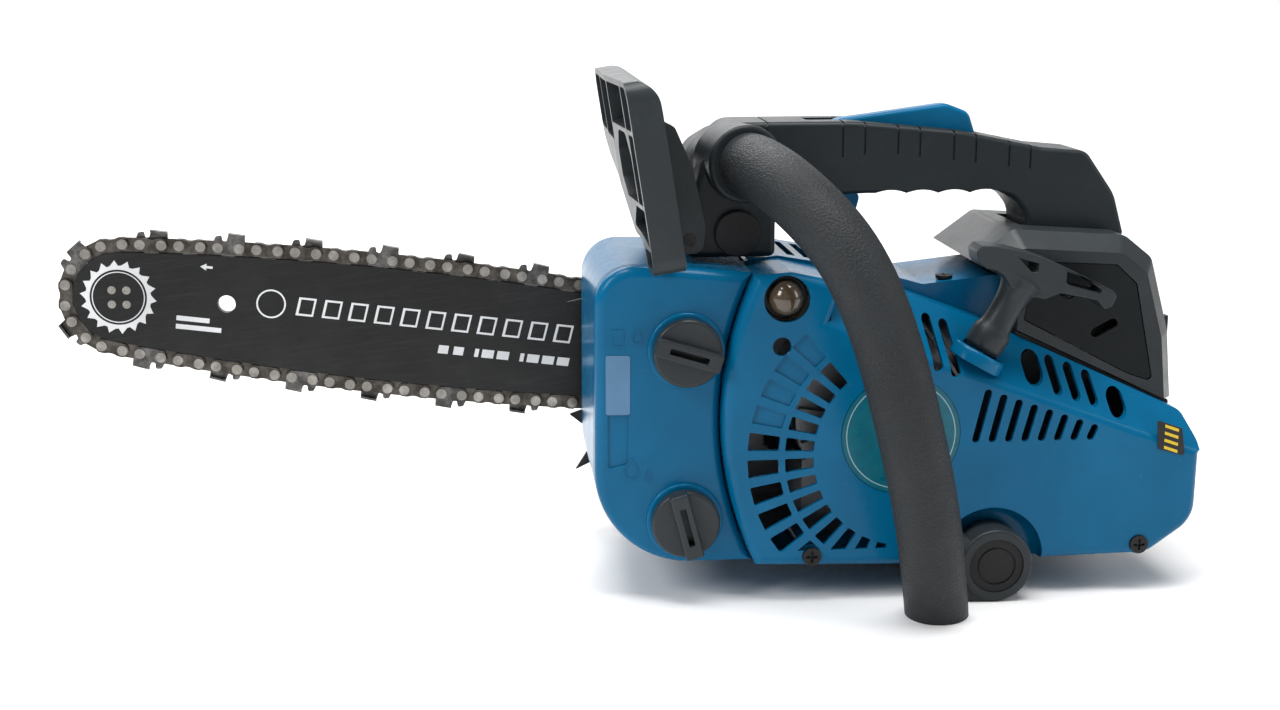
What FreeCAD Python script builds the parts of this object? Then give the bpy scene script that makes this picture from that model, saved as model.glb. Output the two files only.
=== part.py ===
import FreeCAD, Part
import math
import os
from FreeCAD import Vector as V

# Top-handle chainsaw, 25 cc class.  Units mm, +Z up.
# The bar points to -X, the starter side faces -Y, the clutch side faces +Y.
# Shapes are built about the emblem centre (X = 0) and moved by SHIFT at export.

SHIFT_X = 120.15
SHIFT_Y = 23.98

# ---- chain, bar and sprockets -------------------------------------------
CRANK_X = -6.0
CRANK_Z = 80.0
BAR_Y = 50.0
BAR_TILT = 7.184
PITCH_STRAP = 10.2
PITCH_DRIVE = 8.44
DRIVE_LINKS = 46
R_NOSE = 26.2
R_SPROCKET = 18.0
HALF_WIDTH = 32.4
RAIL_DROP = 4.0
GROOVE_DEPTH = 6.0
GROOVE_WIDTH = 1.4
BAR_SIDE = 1.4
LINK_T = 1.27
STRAP_T = 1.2
STRAP_GAP = 0.05
TANG = 8.4
BAR_TAIL = 27.0
STUD_U = (62.0, 92.0)
STUD_R = 4.0

# ---- engine ---------------------------------------------------------------
BORE_R = 17.0
THROW = 14.0
ROD_LEN = 43.0
CYL_TILT = 55.0
WEB_R = 27.0
JOURNAL_R = 6.0

# ---- housings ---------------------------------------------------------------
WALL = 2.2
FACE_Y = -70.0
TANK_Y = -62.0
CAP_R = 15.4
FUEL = (-96.3, 116.6)
OIL = (-96.8, 38.2)
PRIMER = (-52.8, 140.4)
LOUVRE_C = (4.0, 69.0)
BOSS = (44.0, 17.2)
TUBE_R = 14.2
GUARD_PIVOT = (-93.0, 163.7)
TRIGGER_PIVOT = (-33.0, 192.0)
LOCKOUT_PIVOT = (-27.0, 203.5)
GRIP_AXIS = (0.485, 0.0, 0.8745)

NODES = {}


def node(name, *shapes):
    solids = []
    for s in shapes:
        solids.extend(s.Solids)
    NODES[name] = solids[0] if len(solids) == 1 else Part.makeCompound(solids)


def to3(plane, level, a, b):
    if plane == "xz":
        return V(a, level, b)
    if plane == "xy":
        return V(a, b, level)
    return V(level, a, b)


def outline(points, plane, level):
    """Closed face; a point is (a, b) or (a, b, radius); ("arc", a, b) marks a mid point."""
    n = len(points)
    pts = []
    for i in range(n):
        q = points[i]
        if q[0] == "arc":
            pts.append(("arc", q[1], q[2]))
            continue
        r = q[2] if len(q) > 2 else 0.0
        if r <= 0.0:
            pts.append(("pt", q[0], q[1]))
            continue
        before = points[i - 1]
        after = points[(i + 1) % n]
        ax, ay = before[0] - q[0], before[1] - q[1]
        bx, by = after[0] - q[0], after[1] - q[1]
        la, lb = math.hypot(ax, ay), math.hypot(bx, by)
        ax, ay, bx, by = ax / la, ay / la, bx / lb, by / lb
        half = math.acos(max(-1.0, min(1.0, ax * bx + ay * by))) / 2.0
        cut = r / math.tan(half)
        mx, my = ax + bx, ay + by
        lm = math.hypot(mx, my)
        depth = r / math.sin(half) - r
        pts.append(("pt", q[0] + ax * cut, q[1] + ay * cut))
        pts.append(("arc", q[0] + mx / lm * depth, q[1] + my / lm * depth))
        pts.append(("pt", q[0] + bx * cut, q[1] + by * cut))
    edges = []
    n = len(pts)
    i = 0
    while i < n:
        a = pts[i]
        if a[0] == "arc":
            i += 1
            continue
        b = pts[(i + 1) % n]
        pa = to3(plane, level, a[1], a[2])
        if b[0] == "arc":
            c = pts[(i + 2) % n]
            pm = to3(plane, level, b[1], b[2])
            pc = to3(plane, level, c[1], c[2])
            edges.append(Part.Arc(pa, pm, pc).toShape())
            i += 2
        else:
            pb = to3(plane, level, b[1], b[2])
            if pa.distanceToPoint(pb) > 1e-6:
                edges.append(Part.makeLine(pa, pb))
            i += 1
    return Part.Face(Part.Wire(edges))


def prism(points, plane, lo, hi):
    face = outline(points, plane, lo)
    d = hi - lo
    step = {"xz": V(0, d, 0), "xy": V(0, 0, d), "yz": V(d, 0, 0)}[plane]
    return face.extrude(step)


def ruled(points_a, level_a, points_b, level_b):
    """Tapered block between two XZ outlines that have the same corners."""
    wires = [outline(points_a, "xz", level_a).OuterWire, outline(points_b, "xz", level_b).OuterWire]
    return Part.makeLoft(wires, True, True)


def cyl(x, y, z, r, h, axis="y"):
    d = {"x": V(1, 0, 0), "y": V(0, 1, 0), "z": V(0, 0, 1)}[axis]
    return Part.makeCylinder(r, h, V(x, y, z), d)


def rod(p, q, r):
    d = q - p
    return Part.makeCylinder(r, d.Length, p, d)


def tube(p, q, ro, ri):
    return rod(p, q, ro).cut(rod(p - (q - p).normalize() * 1.0, q + (q - p).normalize() * 1.0, ri))


def box(x0, x1, y0, y1, z0, z1):
    return Part.makeBox(x1 - x0, y1 - y0, z1 - z0, V(x0, y0, z0))


def fuse(parts):
    return parts[0].multiFuse(parts[1:]).removeSplitter()


def soften(shape, radius, pick):
    """Fillet the edges that pick() accepts; the shape is kept if OCC refuses."""
    edges = [e for e in shape.Edges if pick(e)]
    if not edges:
        return shape
    for r in (radius, radius * 0.6, radius * 0.3):
        try:
            out = shape.makeFillet(r, edges)
            if out.isValid() and len(out.Solids) == len(shape.Solids):
                return out
        except Part.OCCError:
            continue
    return shape


def on_y(level, tol=0.01):
    return lambda e: all(abs(v.Point.y - level) < tol for v in e.Vertexes)


def slot(cx, cz, width, length, angle, y0, y1):
    """Round-ended slot through an XZ face; angle is measured from +Z, in degrees."""
    r = width / 2.0
    h = max(length / 2.0 - r, 0.01)
    pts = [(-r, -h), (-r, h), ("arc", 0.0, h + r), (r, h), (r, -h), ("arc", 0.0, -h - r)]
    s = prism(pts, "xz", y0, y1)
    s.rotate(V(0, 0, 0), V(0, 1, 0), angle)
    s.translate(V(cx, 0, cz))
    return s


def screw(p, d, head_r, head_h, shank_r, length):
    """Pan-head screw: head on the outside at p, d points into the material."""
    head = Part.makeCylinder(head_r, head_h, p - d * head_h, d)
    edge = [e for e in head.Edges
            if e.Length > head_r and abs(e.Vertexes[0].Point.distanceToPoint(p)) > head_h]
    head = head.makeFillet(head_h * 0.45, edge[:1]) if edge else head
    shank = Part.makeCylinder(shank_r, length, p, d)
    a = V(0, 0, 1) if abs(d.z) < 0.9 else V(1, 0, 0)
    u = d.cross(a).normalize()
    w = d.cross(u).normalize()
    body = head.fuse(shank)
    for k in (u, w):
        other = w if k is u else u
        q = p - d * (head_h + 0.1) - k * head_r * 0.62 - other * head_r * 0.13
        wire = Part.makePolygon([q, q + k * head_r * 1.24, q + k * head_r * 1.24 + other * head_r * 0.26,
                                 q + other * head_r * 0.26, q])
        body = body.cut(Part.Face(wire).extrude(d * head_h * 0.62))
    return body


# ---- chain path ------------------------------------------------------------

def bow(length):
    """Radius and centre of the big edge arc that touches the nose and sprocket circles."""
    def width(radius):
        uc = (length ** 2 - (radius - R_NOSE) ** 2 + (radius - R_SPROCKET) ** 2) / (2 * length)
        return radius - math.sqrt((radius - R_SPROCKET) ** 2 - uc ** 2), uc
    lo, hi = 400.0, 20000.0
    for _ in range(80):
        mid = (lo + hi) / 2.0
        if width(mid)[0] > HALF_WIDTH:
            lo = mid
        else:
            hi = mid
    return mid, width(mid)[1]


class Loop:
    def __init__(self, length):
        self.length = length
        self.R, self.uc = bow(length)
        self.drop = self.R - HALF_WIDTH
        an = math.atan2(self.drop, length - self.uc)
        as_ = math.atan2(self.drop, -self.uc)
        self.a_nose, self.a_sprocket = an, as_
        self.parts = [
            (self.uc, -self.drop, self.R, as_, an),
            (length, 0.0, R_NOSE, an, -an),
            (self.uc, self.drop, self.R, -an, -as_),
            (0.0, 0.0, R_SPROCKET, -as_, as_ - 2 * math.pi)]
        self.spans = [abs(p[4] - p[3]) * p[2] for p in self.parts]
        self.total = sum(self.spans)

    def at(self, s):
        s = s % self.total
        for (cu, cv, r, a0, a1), span in zip(self.parts, self.spans):
            if s <= span:
                a = a0 + (a1 - a0) * s / span
                return cu + r * math.cos(a), cv + r * math.sin(a)
            s -= span
        return self.at(0.0)

    def step(self, s, pitch):
        u0, v0 = self.at(s)
        lo, hi = s + pitch * 0.98, s + pitch * 1.12
        for _ in range(48):
            mid = (lo + hi) / 2.0
            u, v = self.at(mid)
            if math.hypot(u - u0, v - v0) < pitch:
                lo = mid
            else:
                hi = mid
        return mid

    def rivets(self):
        s = 0.0
        out = []
        for _ in range(DRIVE_LINKS):
            for pitch in (PITCH_DRIVE, PITCH_STRAP):
                out.append(self.at(s))
                s = self.step(s, pitch)
        return out, s - self.total


def solve_loop():
    lo, hi = 340.0, 375.0
    for _ in range(40):
        mid = (lo + hi) / 2.0
        if Loop(mid).rivets()[1] > 0:
            lo = mid
        else:
            hi = mid
    return Loop(mid)


def bar_frame(shape):
    """Bar axes (u along the bar, w up) laid in XZ at the crank, nose towards -X."""
    shape.rotate(V(0, 0, 0), V(0, 0, 1), 180)
    shape.rotate(V(0, 0, 0), V(0, 1, 0), BAR_TILT)
    shape.translate(V(CRANK_X, BAR_Y, CRANK_Z))
    return shape


def bar_point(u, v):
    a = math.radians(BAR_TILT)
    return CRANK_X - u * math.cos(a) + v * math.sin(a), CRANK_Z + u * math.sin(a) + v * math.cos(a)


def place(template, p, q):
    """Copy a link (x along the chord, z outward) onto the chord p -> q of the loop."""
    s = template.copy()
    ang = math.degrees(math.atan2(q[1] - p[1], q[0] - p[0]))
    s.rotate(V(0, 0, 0), V(0, 1, 0), -ang)
    s.translate(V((p[0] + q[0]) / 2.0, 0, (p[1] + q[1]) / 2.0))
    return bar_frame(s)


def bone(half, reach, low, high, waist, y0, y1):
    pts = [(-half - reach, -0.4, 0.8), (-half - 1.6, high, 1.8), (-half + 1.8, high, 1.0),
           (-1.0, waist, 2.0),
           (1.0, waist, 2.0), (half - 1.8, high, 1.0), (half + 1.6, high, 1.8), (half + reach, -0.4, 0.8),
           (half + 1.4, low, 1.2), (-half - 1.4, low, 1.2)]
    return prism(pts, "xz", y0, y1)


def build_chain(loop):
    rivets, _ = loop.rivets()
    n = len(rivets)
    hd, hs = PITCH_DRIVE / 2.0, PITCH_STRAP / 2.0
    y_in = LINK_T / 2.0 + STRAP_GAP
    y_out = y_in + STRAP_T
    drive = prism([(-hd - 3.2, 0.6, 0.8), (-hd - 1.0, 3.2, 1.6), (hd + 1.0, 3.2, 1.6), (hd + 3.2, 0.6,
                                                                                        0.8),
                   (hd + 2.2, -3.0, 1.0), (3.4, -TANG + 0.4, 0.9), (1.2, -TANG, 0.6), (-2.6, -TANG + 0.8,
                                                                                       1.2),
                   (-hd - 2.4, -3.0, 1.5)], "xz", -LINK_T / 2.0, LINK_T / 2.0)
    for x in (-hd, hd):
        drive = drive.cut(cyl(x, -2, 0, 2.05, 4))
    strap = bone(hs, 3.2, -3.45, 3.3, 2.6, y_in, y_out)
    side = prism([(-hs - 3.0, -0.4, 0.8), (-hs - 2.6, 6.4, 0.5), (0.2, 7.0, 0.5), (1.0, 3.4, 1.0),
                  (2.9, 3.1, 0.8),
                  (3.6, 6.2, 1.0), (6.4, 5.6, 1.2), (hs + 3.1, 0.4, 0.8), (hs + 1.4, -3.45, 1.2),
                  (-hs - 1.4, -3.45, 1.2)], "xz", y_in, y_out)
    top = prism([(-hs - 2.6, 5.4), (-hs - 2.6, 6.5), (0.4, 7.2), (0.0, 6.1)], "xz", -y_in - 1.2, y_out)
    cutter = side.fuse(top).removeSplitter()
    for x in (-hs, hs):
        hole = cyl(x, -4, 0, 1.75, 8)
        strap = strap.cut(hole)
        cutter = cutter.cut(hole)
    mirror = V(0, 1, 0)
    strap_b = strap.mirror(V(0, 0, 0), mirror)
    cutter_b = cutter.mirror(V(0, 0, 0), mirror)
    pin = fuse([cyl(0, -y_in, 0, 2.0, 2 * y_in), cyl(0, -y_out - 0.35, 0, 1.7, 2 * y_out + 0.7),
                cyl(0, -y_out - 0.45, 0, 2.5, 0.4), cyl(0, y_out + 0.05, 0, 2.5, 0.4)])
    drives, straps, left, right, pins = [], [], [], [], []
    count = 0
    for k in range(n):
        p, q = rivets[k], rivets[(k + 1) % n]
        if k % 2 == 0:
            drives.append(place(drive, p, q))
        else:
            spot = (k - 1) // 2
            if spot % 2 == 0 and spot < DRIVE_LINKS - 1:
                on_left = count % 2 == 0
                count += 1
                if on_left:
                    left.append(place(cutter, p, q))
                    straps.append(place(strap_b, p, q))
                else:
                    right.append(place(cutter_b, p, q))
                    straps.append(place(strap, p, q))
            else:
                straps.append(place(strap, p, q))
                straps.append(place(strap_b, p, q))
        s = pin.copy()
        s.translate(V(p[0], 0, p[1]))
        pins.append(bar_frame(s))
    node("chain_drive_links", *drives)
    node("chain_tie_straps", *straps)
    node("chain_cutters", *(left + right))
    node("chain_rivets", *pins)
    return rivets


def arc_at(loop, side, drop, u):
    r = loop.R - drop
    return side * (math.sqrt(r * r - (u - loop.uc) ** 2) - loop.drop)


def bar_blank(loop, drop, nose_r, tail, y0, y1):
    """Bar outline: two bow arcs, the nose arc and a rounded tail, in bar axes."""
    r = loop.R - drop
    un = loop.uc + r * math.cos(loop.a_nose)
    vn = r * math.sin(loop.a_nose) - loop.drop
    um = (un + tail) / 2.0
    t = arc_at(loop, 1, drop, tail + 4)
    pts = [(tail + 4, t), ("arc", um, arc_at(loop, 1, drop, um)), (un, vn), ("arc", loop.length + nose_r,
                                                                             0.0),
           (un, -vn), ("arc", um, -arc_at(loop, 1, drop, um)), (tail + 4, -t), (tail, -t + 4), (tail,
                                                                                                t - 4)]
    return prism(pts, "xz", y0, y1)


def build_bar(loop, rivets):
    half = GROOVE_WIDTH / 2.0
    L = loop.length
    holes = []
    u, v = L - 51.6, 2.2
    holes.append(cyl(u, -5, v, 4.3, 10))
    s0, s1 = STUD_U[0] - 10.0, STUD_U[1] + 8.0
    holes.append(prism([(s0, -STUD_R - 0.15), ("arc", s0 - STUD_R - 0.15, 0), (s0, STUD_R + 0.15),
                        (s1, STUD_R + 0.15), ("arc", s1 + STUD_R + 0.15, 0), (s1, -STUD_R - 0.15)], "xz",
                        -5, 5))
    for sgn in (1, -1):
        holes.append(cyl(s0 - 12, -5, sgn * 12.0, 2.8, 10))
    rv = [(L + 5.0 * math.cos(a), 5.0 * math.sin(a)) for a in (0.7, 2.27, 3.84, 5.41)]
    for a, b in rv:
        holes.append(cyl(a, -5, b, 1.4, 10))
    plates = []
    for y0 in (-half - BAR_SIDE, half + 0.02):
        y1 = y0 + BAR_SIDE - 0.02
        p = bar_blank(loop, RAIL_DROP, R_NOSE - RAIL_DROP, BAR_TAIL, y0, y1)
        for h in holes:
            p = p.cut(h)
        plates.append(bar_frame(p))
    node("bar_side_plates", *plates)
    core = bar_blank(loop, RAIL_DROP + GROOVE_DEPTH, R_NOSE - RAIL_DROP - GROOVE_DEPTH, BAR_TAIL + 4,
                     -half + 0.01, half - 0.01)
    core = core.cut(cyl(L, -3, 0, 23.5, 6))
    for h in holes:
        core = core.cut(h)
    node("bar_core", bar_frame(core))
    star = cyl(L, -0.6, 0, 17.0, 1.2)
    n = len(rivets)
    for k in range(1, n, 2):
        p, q = rivets[k], rivets[(k + 1) % n]
        m = ((p[0] + q[0]) / 2.0, (p[1] + q[1]) / 2.0)
        if abs(math.hypot(m[0] - L, m[1]) - R_NOSE) > 1.5:
            continue
        a = math.atan2(m[1], m[0] - L)
        tooth = prism([(16.0, -2.4), (21.6, -1.0, 0.5), (21.6, 1.0, 0.5), (16.0, 2.4)], "xz", -0.6, 0.6)
        tooth.rotate(V(0, 0, 0), V(0, 1, 0), -math.degrees(a))
        tooth.translate(V(L, 0, 0))
        star = star.fuse(tooth)
    star = star.cut(cyl(L, -2, 0, 9.0, 4))
    race = cyl(L, -0.62, 0, 8.9, 1.24)
    for a, b in rv:
        race = race.cut(cyl(a, -5, b, 1.4, 10))
    node("nose_sprocket", bar_frame(star.removeSplitter()))
    pins = [bar_frame(race)]
    for a, b in rv:
        out = half + BAR_SIDE
        s = fuse([cyl(a, -out - 0.25, b, 1.38, 2 * out + 0.5), cyl(a, -out - 0.3, b, 2.0, 0.28),
                  cyl(a, out + 0.02, b, 2.0, 0.28)])
        pins.append(bar_frame(s))
    node("nose_rivets", *pins)


# ---- engine -----------------------------------------------------------------

def along(dist, side=0.0, y=0.0):
    a = math.radians(CYL_TILT)
    return V(CRANK_X + dist * math.sin(a) - side * math.cos(a), y,
             CRANK_Z + dist * math.cos(a) + side * math.sin(a))


def build_engine():
    cx, cz = CRANK_X, CRANK_Z
    up = along(1) - along(0)
    # crankcase casting: bearing barrel, bar pad, bottom rail and two feet
    pad = prism([(-132, 30, 6), (-132, 122, 8), (-40, 122, 14), (20, 112, 14), (36, 84, 10), (36, 40, 12),
                 (10, 30, 10)], "xz", 38.5, 47.4)
    rail = prism([(-118, 5.0, 4), (-118, 15.0, 4), (124, 15.0, 4), (124, 5.0, 4)], "xz", 36.0, 66.0)
    rail = soften(rail, 3.0, lambda e: e.Length > 3 and (on_y(66.0)(e)))
    legs = prism([(-62, 10.0), (-40, 46.0, 8), (50, 46.0, 8), (66, 10.0)], "xz", 38.5, 53.6)
    floor = prism([(-63.6, 16.4), (118.4, 16.4, 14), (140.2, 33.0, 16), (140.6, 62.0, 10), (134.9, 80.4),
                   (131.6, 79.4), (137.4, 61.4, 8), (137.2, 33.8, 13), (117.4, 19.6, 11), (-63.6, 19.6)],
                  "xz", -26.6, 38.6)
    wall = prism([(-63.6, 18.0), (118.0, 18.0, 12), (138.4, 33.6, 14), (138.8, 61.8, 8), (132.8, 80.6),
                  (46.0, 119.4), (-63.6, 119.4)], "xz", 35.6, 38.6)
    stay = box(-36, 28, -24, 36, 17, 54)
    body = fuse([cyl(cx, -24, cz, 34, 62.5), pad, rail, legs, floor, wall, stay,
                 cyl(-106, 57, 0, 8, 8, "z"), cyl(110, 57, 0, 8, 8, "z")])
    spigot = Part.makeCylinder(26, 33.0, V(cx, 0, cz), up)
    body = body.fuse(spigot)
    body = body.cut(cyl(cx, -13, cz, 28.2, 26)).cut(cyl(cx, -30, cz, 14.04, 100))
    body = body.cut(Part.makeCylinder(17.6, 60, along(5), up))
    body = body.cut(cyl(cx, 24, cz, 30.0, 11)).cut(cyl(cx, 45.4, cz, 18.5, 10))
    flat = Part.makeBox(90, 90, 12, V(-45, -45, 33.2))
    flat.rotate(V(0, 0, 0), V(0, 1, 0), CYL_TILT)
    flat.translate(V(cx, 0, cz))
    body = body.cut(flat.common(box(-60, 80, -40, 35.4, 60, 160)))
    body = body.cut(box(-45, -29, 24.2, 38.2, 45, 59)).cut(cyl(-37, 15, 52, 4.3, 20))
    for u in STUD_U:
        x, z = bar_point(u, 0)
        body = body.cut(cyl(x, 30, z, STUD_R, 30))
    tx, tz = bar_point(STUD_U[0] - 22, -12)
    body = body.cut(box(-134, tx + 12, 39.3, 44.3, tz - 4.2, tz + 4.2))
    body = body.cut(box(tx - 12, tx + 12, 42.0, 50.0, tz - 3.0, tz + 3.0))
    body = body.cut(box(-134, -124, 37.8, 45.8, tz - 4.2, tz + 4.2))
    node("crankcase", body.removeSplitter())
    rings = []
    for y0 in (-22.0, 14.0):
        outer = cyl(cx, y0, cz, 14.0, 8).cut(cyl(cx, y0 - 1, cz, 11.4, 10))
        outer = outer.cut(cyl(cx, y0 - 1, cz, 11.9, 1.8)).cut(cyl(cx, y0 + 7.2, cz, 11.9, 1.8))
        rings.append(outer)
    node("crank_bearings", *rings)
    # crankshaft: two webs with journals; the throw pin stays with the rod
    inner = [cyl(cx, -12.6, cz, WEB_R, 8.4), cyl(cx, 4.2, cz, WEB_R, 8.4)]
    left = fuse([inner[0], cyl(cx, -57.5, cz, JOURNAL_R, 45), cyl(cx, -23.5, cz, 11.34, 11)])
    right = fuse([inner[1], cyl(cx, 12.5, cz, JOURNAL_R, 62), cyl(cx, 12.5, cz, 11.34, 11)])
    worm = cyl(cx, 26.5, cz, 9.0, 8).cut(cyl(cx, 26, cz, JOURNAL_R + 0.02, 9))
    node("crankshaft", left, right, worm)
    pin = along(THROW)
    crown = along(THROW + ROD_LEN)
    arm_dir = V(0, 1, 0)
    big = Part.makeCylinder(9.0, 7.6, V(pin.x, -3.8, pin.z), arm_dir)
    small = Part.makeCylinder(7.0, 7.6, V(crown.x, -3.8, crown.z), arm_dir)
    shank = prism([(6, -4.2), (6, 4.2), (ROD_LEN - 4, 3.0), (ROD_LEN - 4, -3.0)], "xz", -2.4, 2.4)
    shank.rotate(V(0, 0, 0), V(0, 1, 0), CYL_TILT - 90.0)
    shank.translate(V(pin.x, 0, pin.z))
    rod_ = fuse([big, small, shank])
    rod_ = rod_.cut(Part.makeCylinder(5.5, 20, V(pin.x, -10, pin.z), arm_dir))
    rod_ = rod_.cut(Part.makeCylinder(4.52, 20, V(crown.x, -10, crown.z), arm_dir))
    throw_pin = Part.makeCylinder(5.45, 8.0, V(pin.x, -4.0, pin.z), arm_dir)
    node("conrod", rod_, throw_pin)
    piston = Part.makeCylinder(BORE_R - 0.06, 22.0, along(48), up)
    piston = piston.cut(Part.makeCylinder(BORE_R - 2.6, 19.5, along(47), up))
    bosses = [Part.makeCylinder(6.6, 9.0, V(crown.x, y, crown.z), arm_dir) for y in (-15.2, 6.2)]
    limit = Part.makeCylinder(BORE_R - 0.06, 22.0, along(48), up)
    piston = fuse([piston] + [b.common(limit) for b in bosses])
    piston = piston.cut(Part.makeCylinder(4.52, 60, V(crown.x, -30, crown.z), arm_dir))
    for d in (63.0, 66.5):
        groove = Part.makeCylinder(30, 1.4, along(d), up).cut(Part.makeCylinder(15.8, 3, along(d - 1), up))
        piston = piston.cut(groove)
    wrist = Part.makeCylinder(4.5, 29.0, V(crown.x, -14.5, crown.z), arm_dir)
    node("piston", piston, wrist)
    # cylinder with fins, exhaust to the front top, intake to the rear
    cyl_parts = [Part.makeCylinder(21.5, 42.5, along(33.6), up)]
    flange = Part.makeBox(50, 50, 5, V(-25, -25, 33.6))
    flange.rotate(V(0, 0, 0), V(0, 1, 0), CYL_TILT)
    flange.translate(V(cx, 0, cz))
    cyl_parts.append(flange)
    for k in range(7):
        fin = prism([(-22, -24, 9), (22, -24, 9), (22, 24, 9), (-22, 24, 9)], "xy", 43.0 + 4.8 * k,
                    44.6 + 4.8 * k)
        fin.rotate(V(0, 0, 0), V(0, 1, 0), CYL_TILT)
        fin.translate(V(cx, 0, cz))
        cyl_parts.append(fin)
    barrel = fuse(cyl_parts)
    barrel = barrel.cut(Part.makeCylinder(BORE_R, 45.0, along(27), up))
    plug_dir = (up + V(0, 0.42, 0)).normalize()
    seat = along(70.5)
    barrel = barrel.cut(Part.makeCylinder(5.05, 24, seat - plug_dir * 6, plug_dir))
    ex_dir = along(0, 1) - along(0, 0)
    barrel = barrel.fuse(Part.makeCylinder(9.5, 3.5, along(57, 20.5), ex_dir))
    barrel = barrel.cut(Part.makeCylinder(7, 16, along(57, 12), ex_dir))
    barrel = barrel.cut(Part.makeCylinder(BORE_R, 20, along(50), up))
    barrel = barrel.cut(prism([(8.0, 138.4), (19.4, 135.1), (60.0, 139.2), (60.0, 160.0), (8.0, 160.0)],
                              "xz", -40.0, 40.0))
    node("cylinder", max(barrel.removeSplitter().Solids, key=lambda q: q.Volume))
    plug = fuse([Part.makeCylinder(5.0, 12, seat + plug_dir * 3.0, plug_dir),
                 Part.makeCylinder(8.2, 4, seat + plug_dir * 10.4, plug_dir),
                 Part.makeCylinder(4.0, 20, seat + plug_dir * 10.4, plug_dir)])
    boot = Part.makeCylinder(7.0, 17, seat + plug_dir * 15.5, plug_dir)
    boot = boot.cut(Part.makeCylinder(4.1, 15.5, seat + plug_dir * 15.3, plug_dir))
    node("spark_plug", plug, boot)
    # flywheel, starter cup and clutch turn with the shaft
    disc = fuse([cyl(cx, -46, cz, 37.5, 4), cyl(cx, -46, cz, 12, 18), cyl(cx, -52.5, cz, 11.0, 7)])
    fins = []
    for k in range(14):
        f = prism([(14, -1.0), (37, -1.0), (37, 1.0), (14, 1.0)], "xz", -50.0, -45.5)
        f.rotate(V(0, 0, 0), V(0, 1, 0), 360.0 / 14 * k + 7)
        f.translate(V(cx, 0, cz))
        fins.append(f)
    rim = cyl(cx, -42.5, cz, 37.5, 12).cut(cyl(cx, -43, cz, 31.0, 13))
    disc = fuse([disc, rim] + fins)
    disc = disc.cut(cyl(cx, -60, cz, JOURNAL_R, 40))
    node("flywheel", disc)
    hub = fuse([cyl(cx, 62, cz, 10, 10), box(cx - 16, cx + 16, 63, 71, cz - 4, cz + 4)])
    hub = hub.cut(cyl(cx, 60, cz, JOURNAL_R, 14))
    shoes = []
    for sgn in (1, -1):
        s = cyl(cx, 63, cz, 26.2, 8).cut(cyl(cx, 62, cz, 17, 10)).cut(cyl(cx, 62, cz, 12, 10))
        s = s.common(box(cx - 40, cx + 40, 60, 80, cz + 5, cz + 40) if sgn > 0
                     else box(cx - 40, cx + 40, 60, 80, cz - 40, cz - 5))
        shoes.append(s)
    node("clutch", hub, *shoes)
    drum = cyl(cx, 59, cz, 29.2, 13.5).cut(cyl(cx, 61, cz, 27.2, 13))
    hub_tube = cyl(cx, 40.0, cz, 9.2, 20)
    rails = [cyl(cx, BAR_Y - 3.9, cz, 13.5, 3.0), cyl(cx, BAR_Y + 0.9, cz, 13.5, 3.0)]
    drum = fuse([drum, hub_tube] + rails).cut(cyl(cx, 30, cz, JOURNAL_R + 0.06, 40))
    node("clutch_drum", drum)
    band = cyl(cx, 60.0, cz, 31.3, 11).cut(cyl(cx, 59, cz, 30.4, 13))
    band = band.cut(box(cx - 3, cx + 3, 58, 73, cz + 20, cz + 40))
    node("brake_band", band)
    coil = fuse([box(cx - 18, cx + 14, -40, -32, cz + 39.0, cz + 51), box(cx - 18, cx - 10, -40, -32,
                                                                          cz + 33.5, cz + 40),
                 box(cx + 6, cx + 14, -40, -32, cz + 33.5, cz + 40)])
    coil = coil.cut(cyl(cx, -41, cz, 38.1, 12))
    node("ignition_coil", coil)
    muffler = box(-60, -18, -16, 30, 118.5, 142)
    muffler = soften(muffler, 4.0, lambda e: True)
    inner = box(-58.6, -19.4, -14.6, 28.6, 119.9, 140.6)
    muffler = muffler.cut(inner)
    muffler = muffler.cut(box(-50, -34, 26, 34, 124, 132))
    node("muffler", muffler)
    pump = fuse([box(-44, -30, 24.6, 37.8, 46, 58), cyl(-37, 20.0, 52, 4, 5)])
    node("oil_pump", pump)
    carb = fuse([box(84, 110, -26, 2, 104, 132), cyl(80, -12, 118, 11, 34, "x"), cyl(97, -12, 131, 10, 6,
                                                                                     "z")])
    carb = carb.cut(cyl(70, -12, 118, 7.0, 60, "x")).cut(cyl(99, -30, 118, 2.05, 60))
    for x, z in ((103.5, 124.5), (94.5, 122.0)):
        carb = carb.fuse(cyl(x, -31.5, z, 2.2, 8)).cut(box(x - 3, x + 3, -32, -30.6, z - 0.4, z + 0.4))
    node("carburettor", carb)
    shaft = cyl(99, -29.5, 118, 2.0, 36)
    plate = cyl(99, -12, 118, 6.6, 0.9, "x")
    plate.translate(V(-0.45, 0, 0))
    arm = prism([(96, 110.0, 1.5), (96, 120.4, 2), (101.6, 120.4, 2), (101.6, 110.0, 1.5)], "xz", -29.5,
                -27.0)
    node("throttle_shaft", fuse([shaft, plate, arm]))
    intake = tube(V(79.6, -12, 118), along(58, -21.6, -8), 9.0, 6.6)
    end = cyl(75, -12, 118, 10.5, 4.6, "x").cut(cyl(74, -12, 118, 6.6, 8, "x"))
    intake = intake.cut(Part.makeCylinder(22.6, 60, along(30), up))
    keep = box(38, 79.6, -60, 20, 60, 140)
    intake = intake.common(keep)
    intake = intake.fuse(end)
    fins_zone = Part.makeBox(46, 56, 60, V(-23, -28, 40))
    fins_zone.rotate(V(0, 0, 0), V(0, 1, 0), CYL_TILT)
    fins_zone.translate(V(cx, 0, cz))
    intake = intake.cut(fins_zone)
    intake = max(intake.Solids, key=lambda s: s.Volume)
    node("intake_boot", intake)
    filt = box(114.5, 123.0, -34, 30, 92, 134)
    for k in range(9):
        filt = filt.cut(box(121.5, 124, -31 + 7 * k, -28.5 + 7 * k, 95, 131))
    node("air_filter", filt)
    return plug_dir, seat


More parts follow.
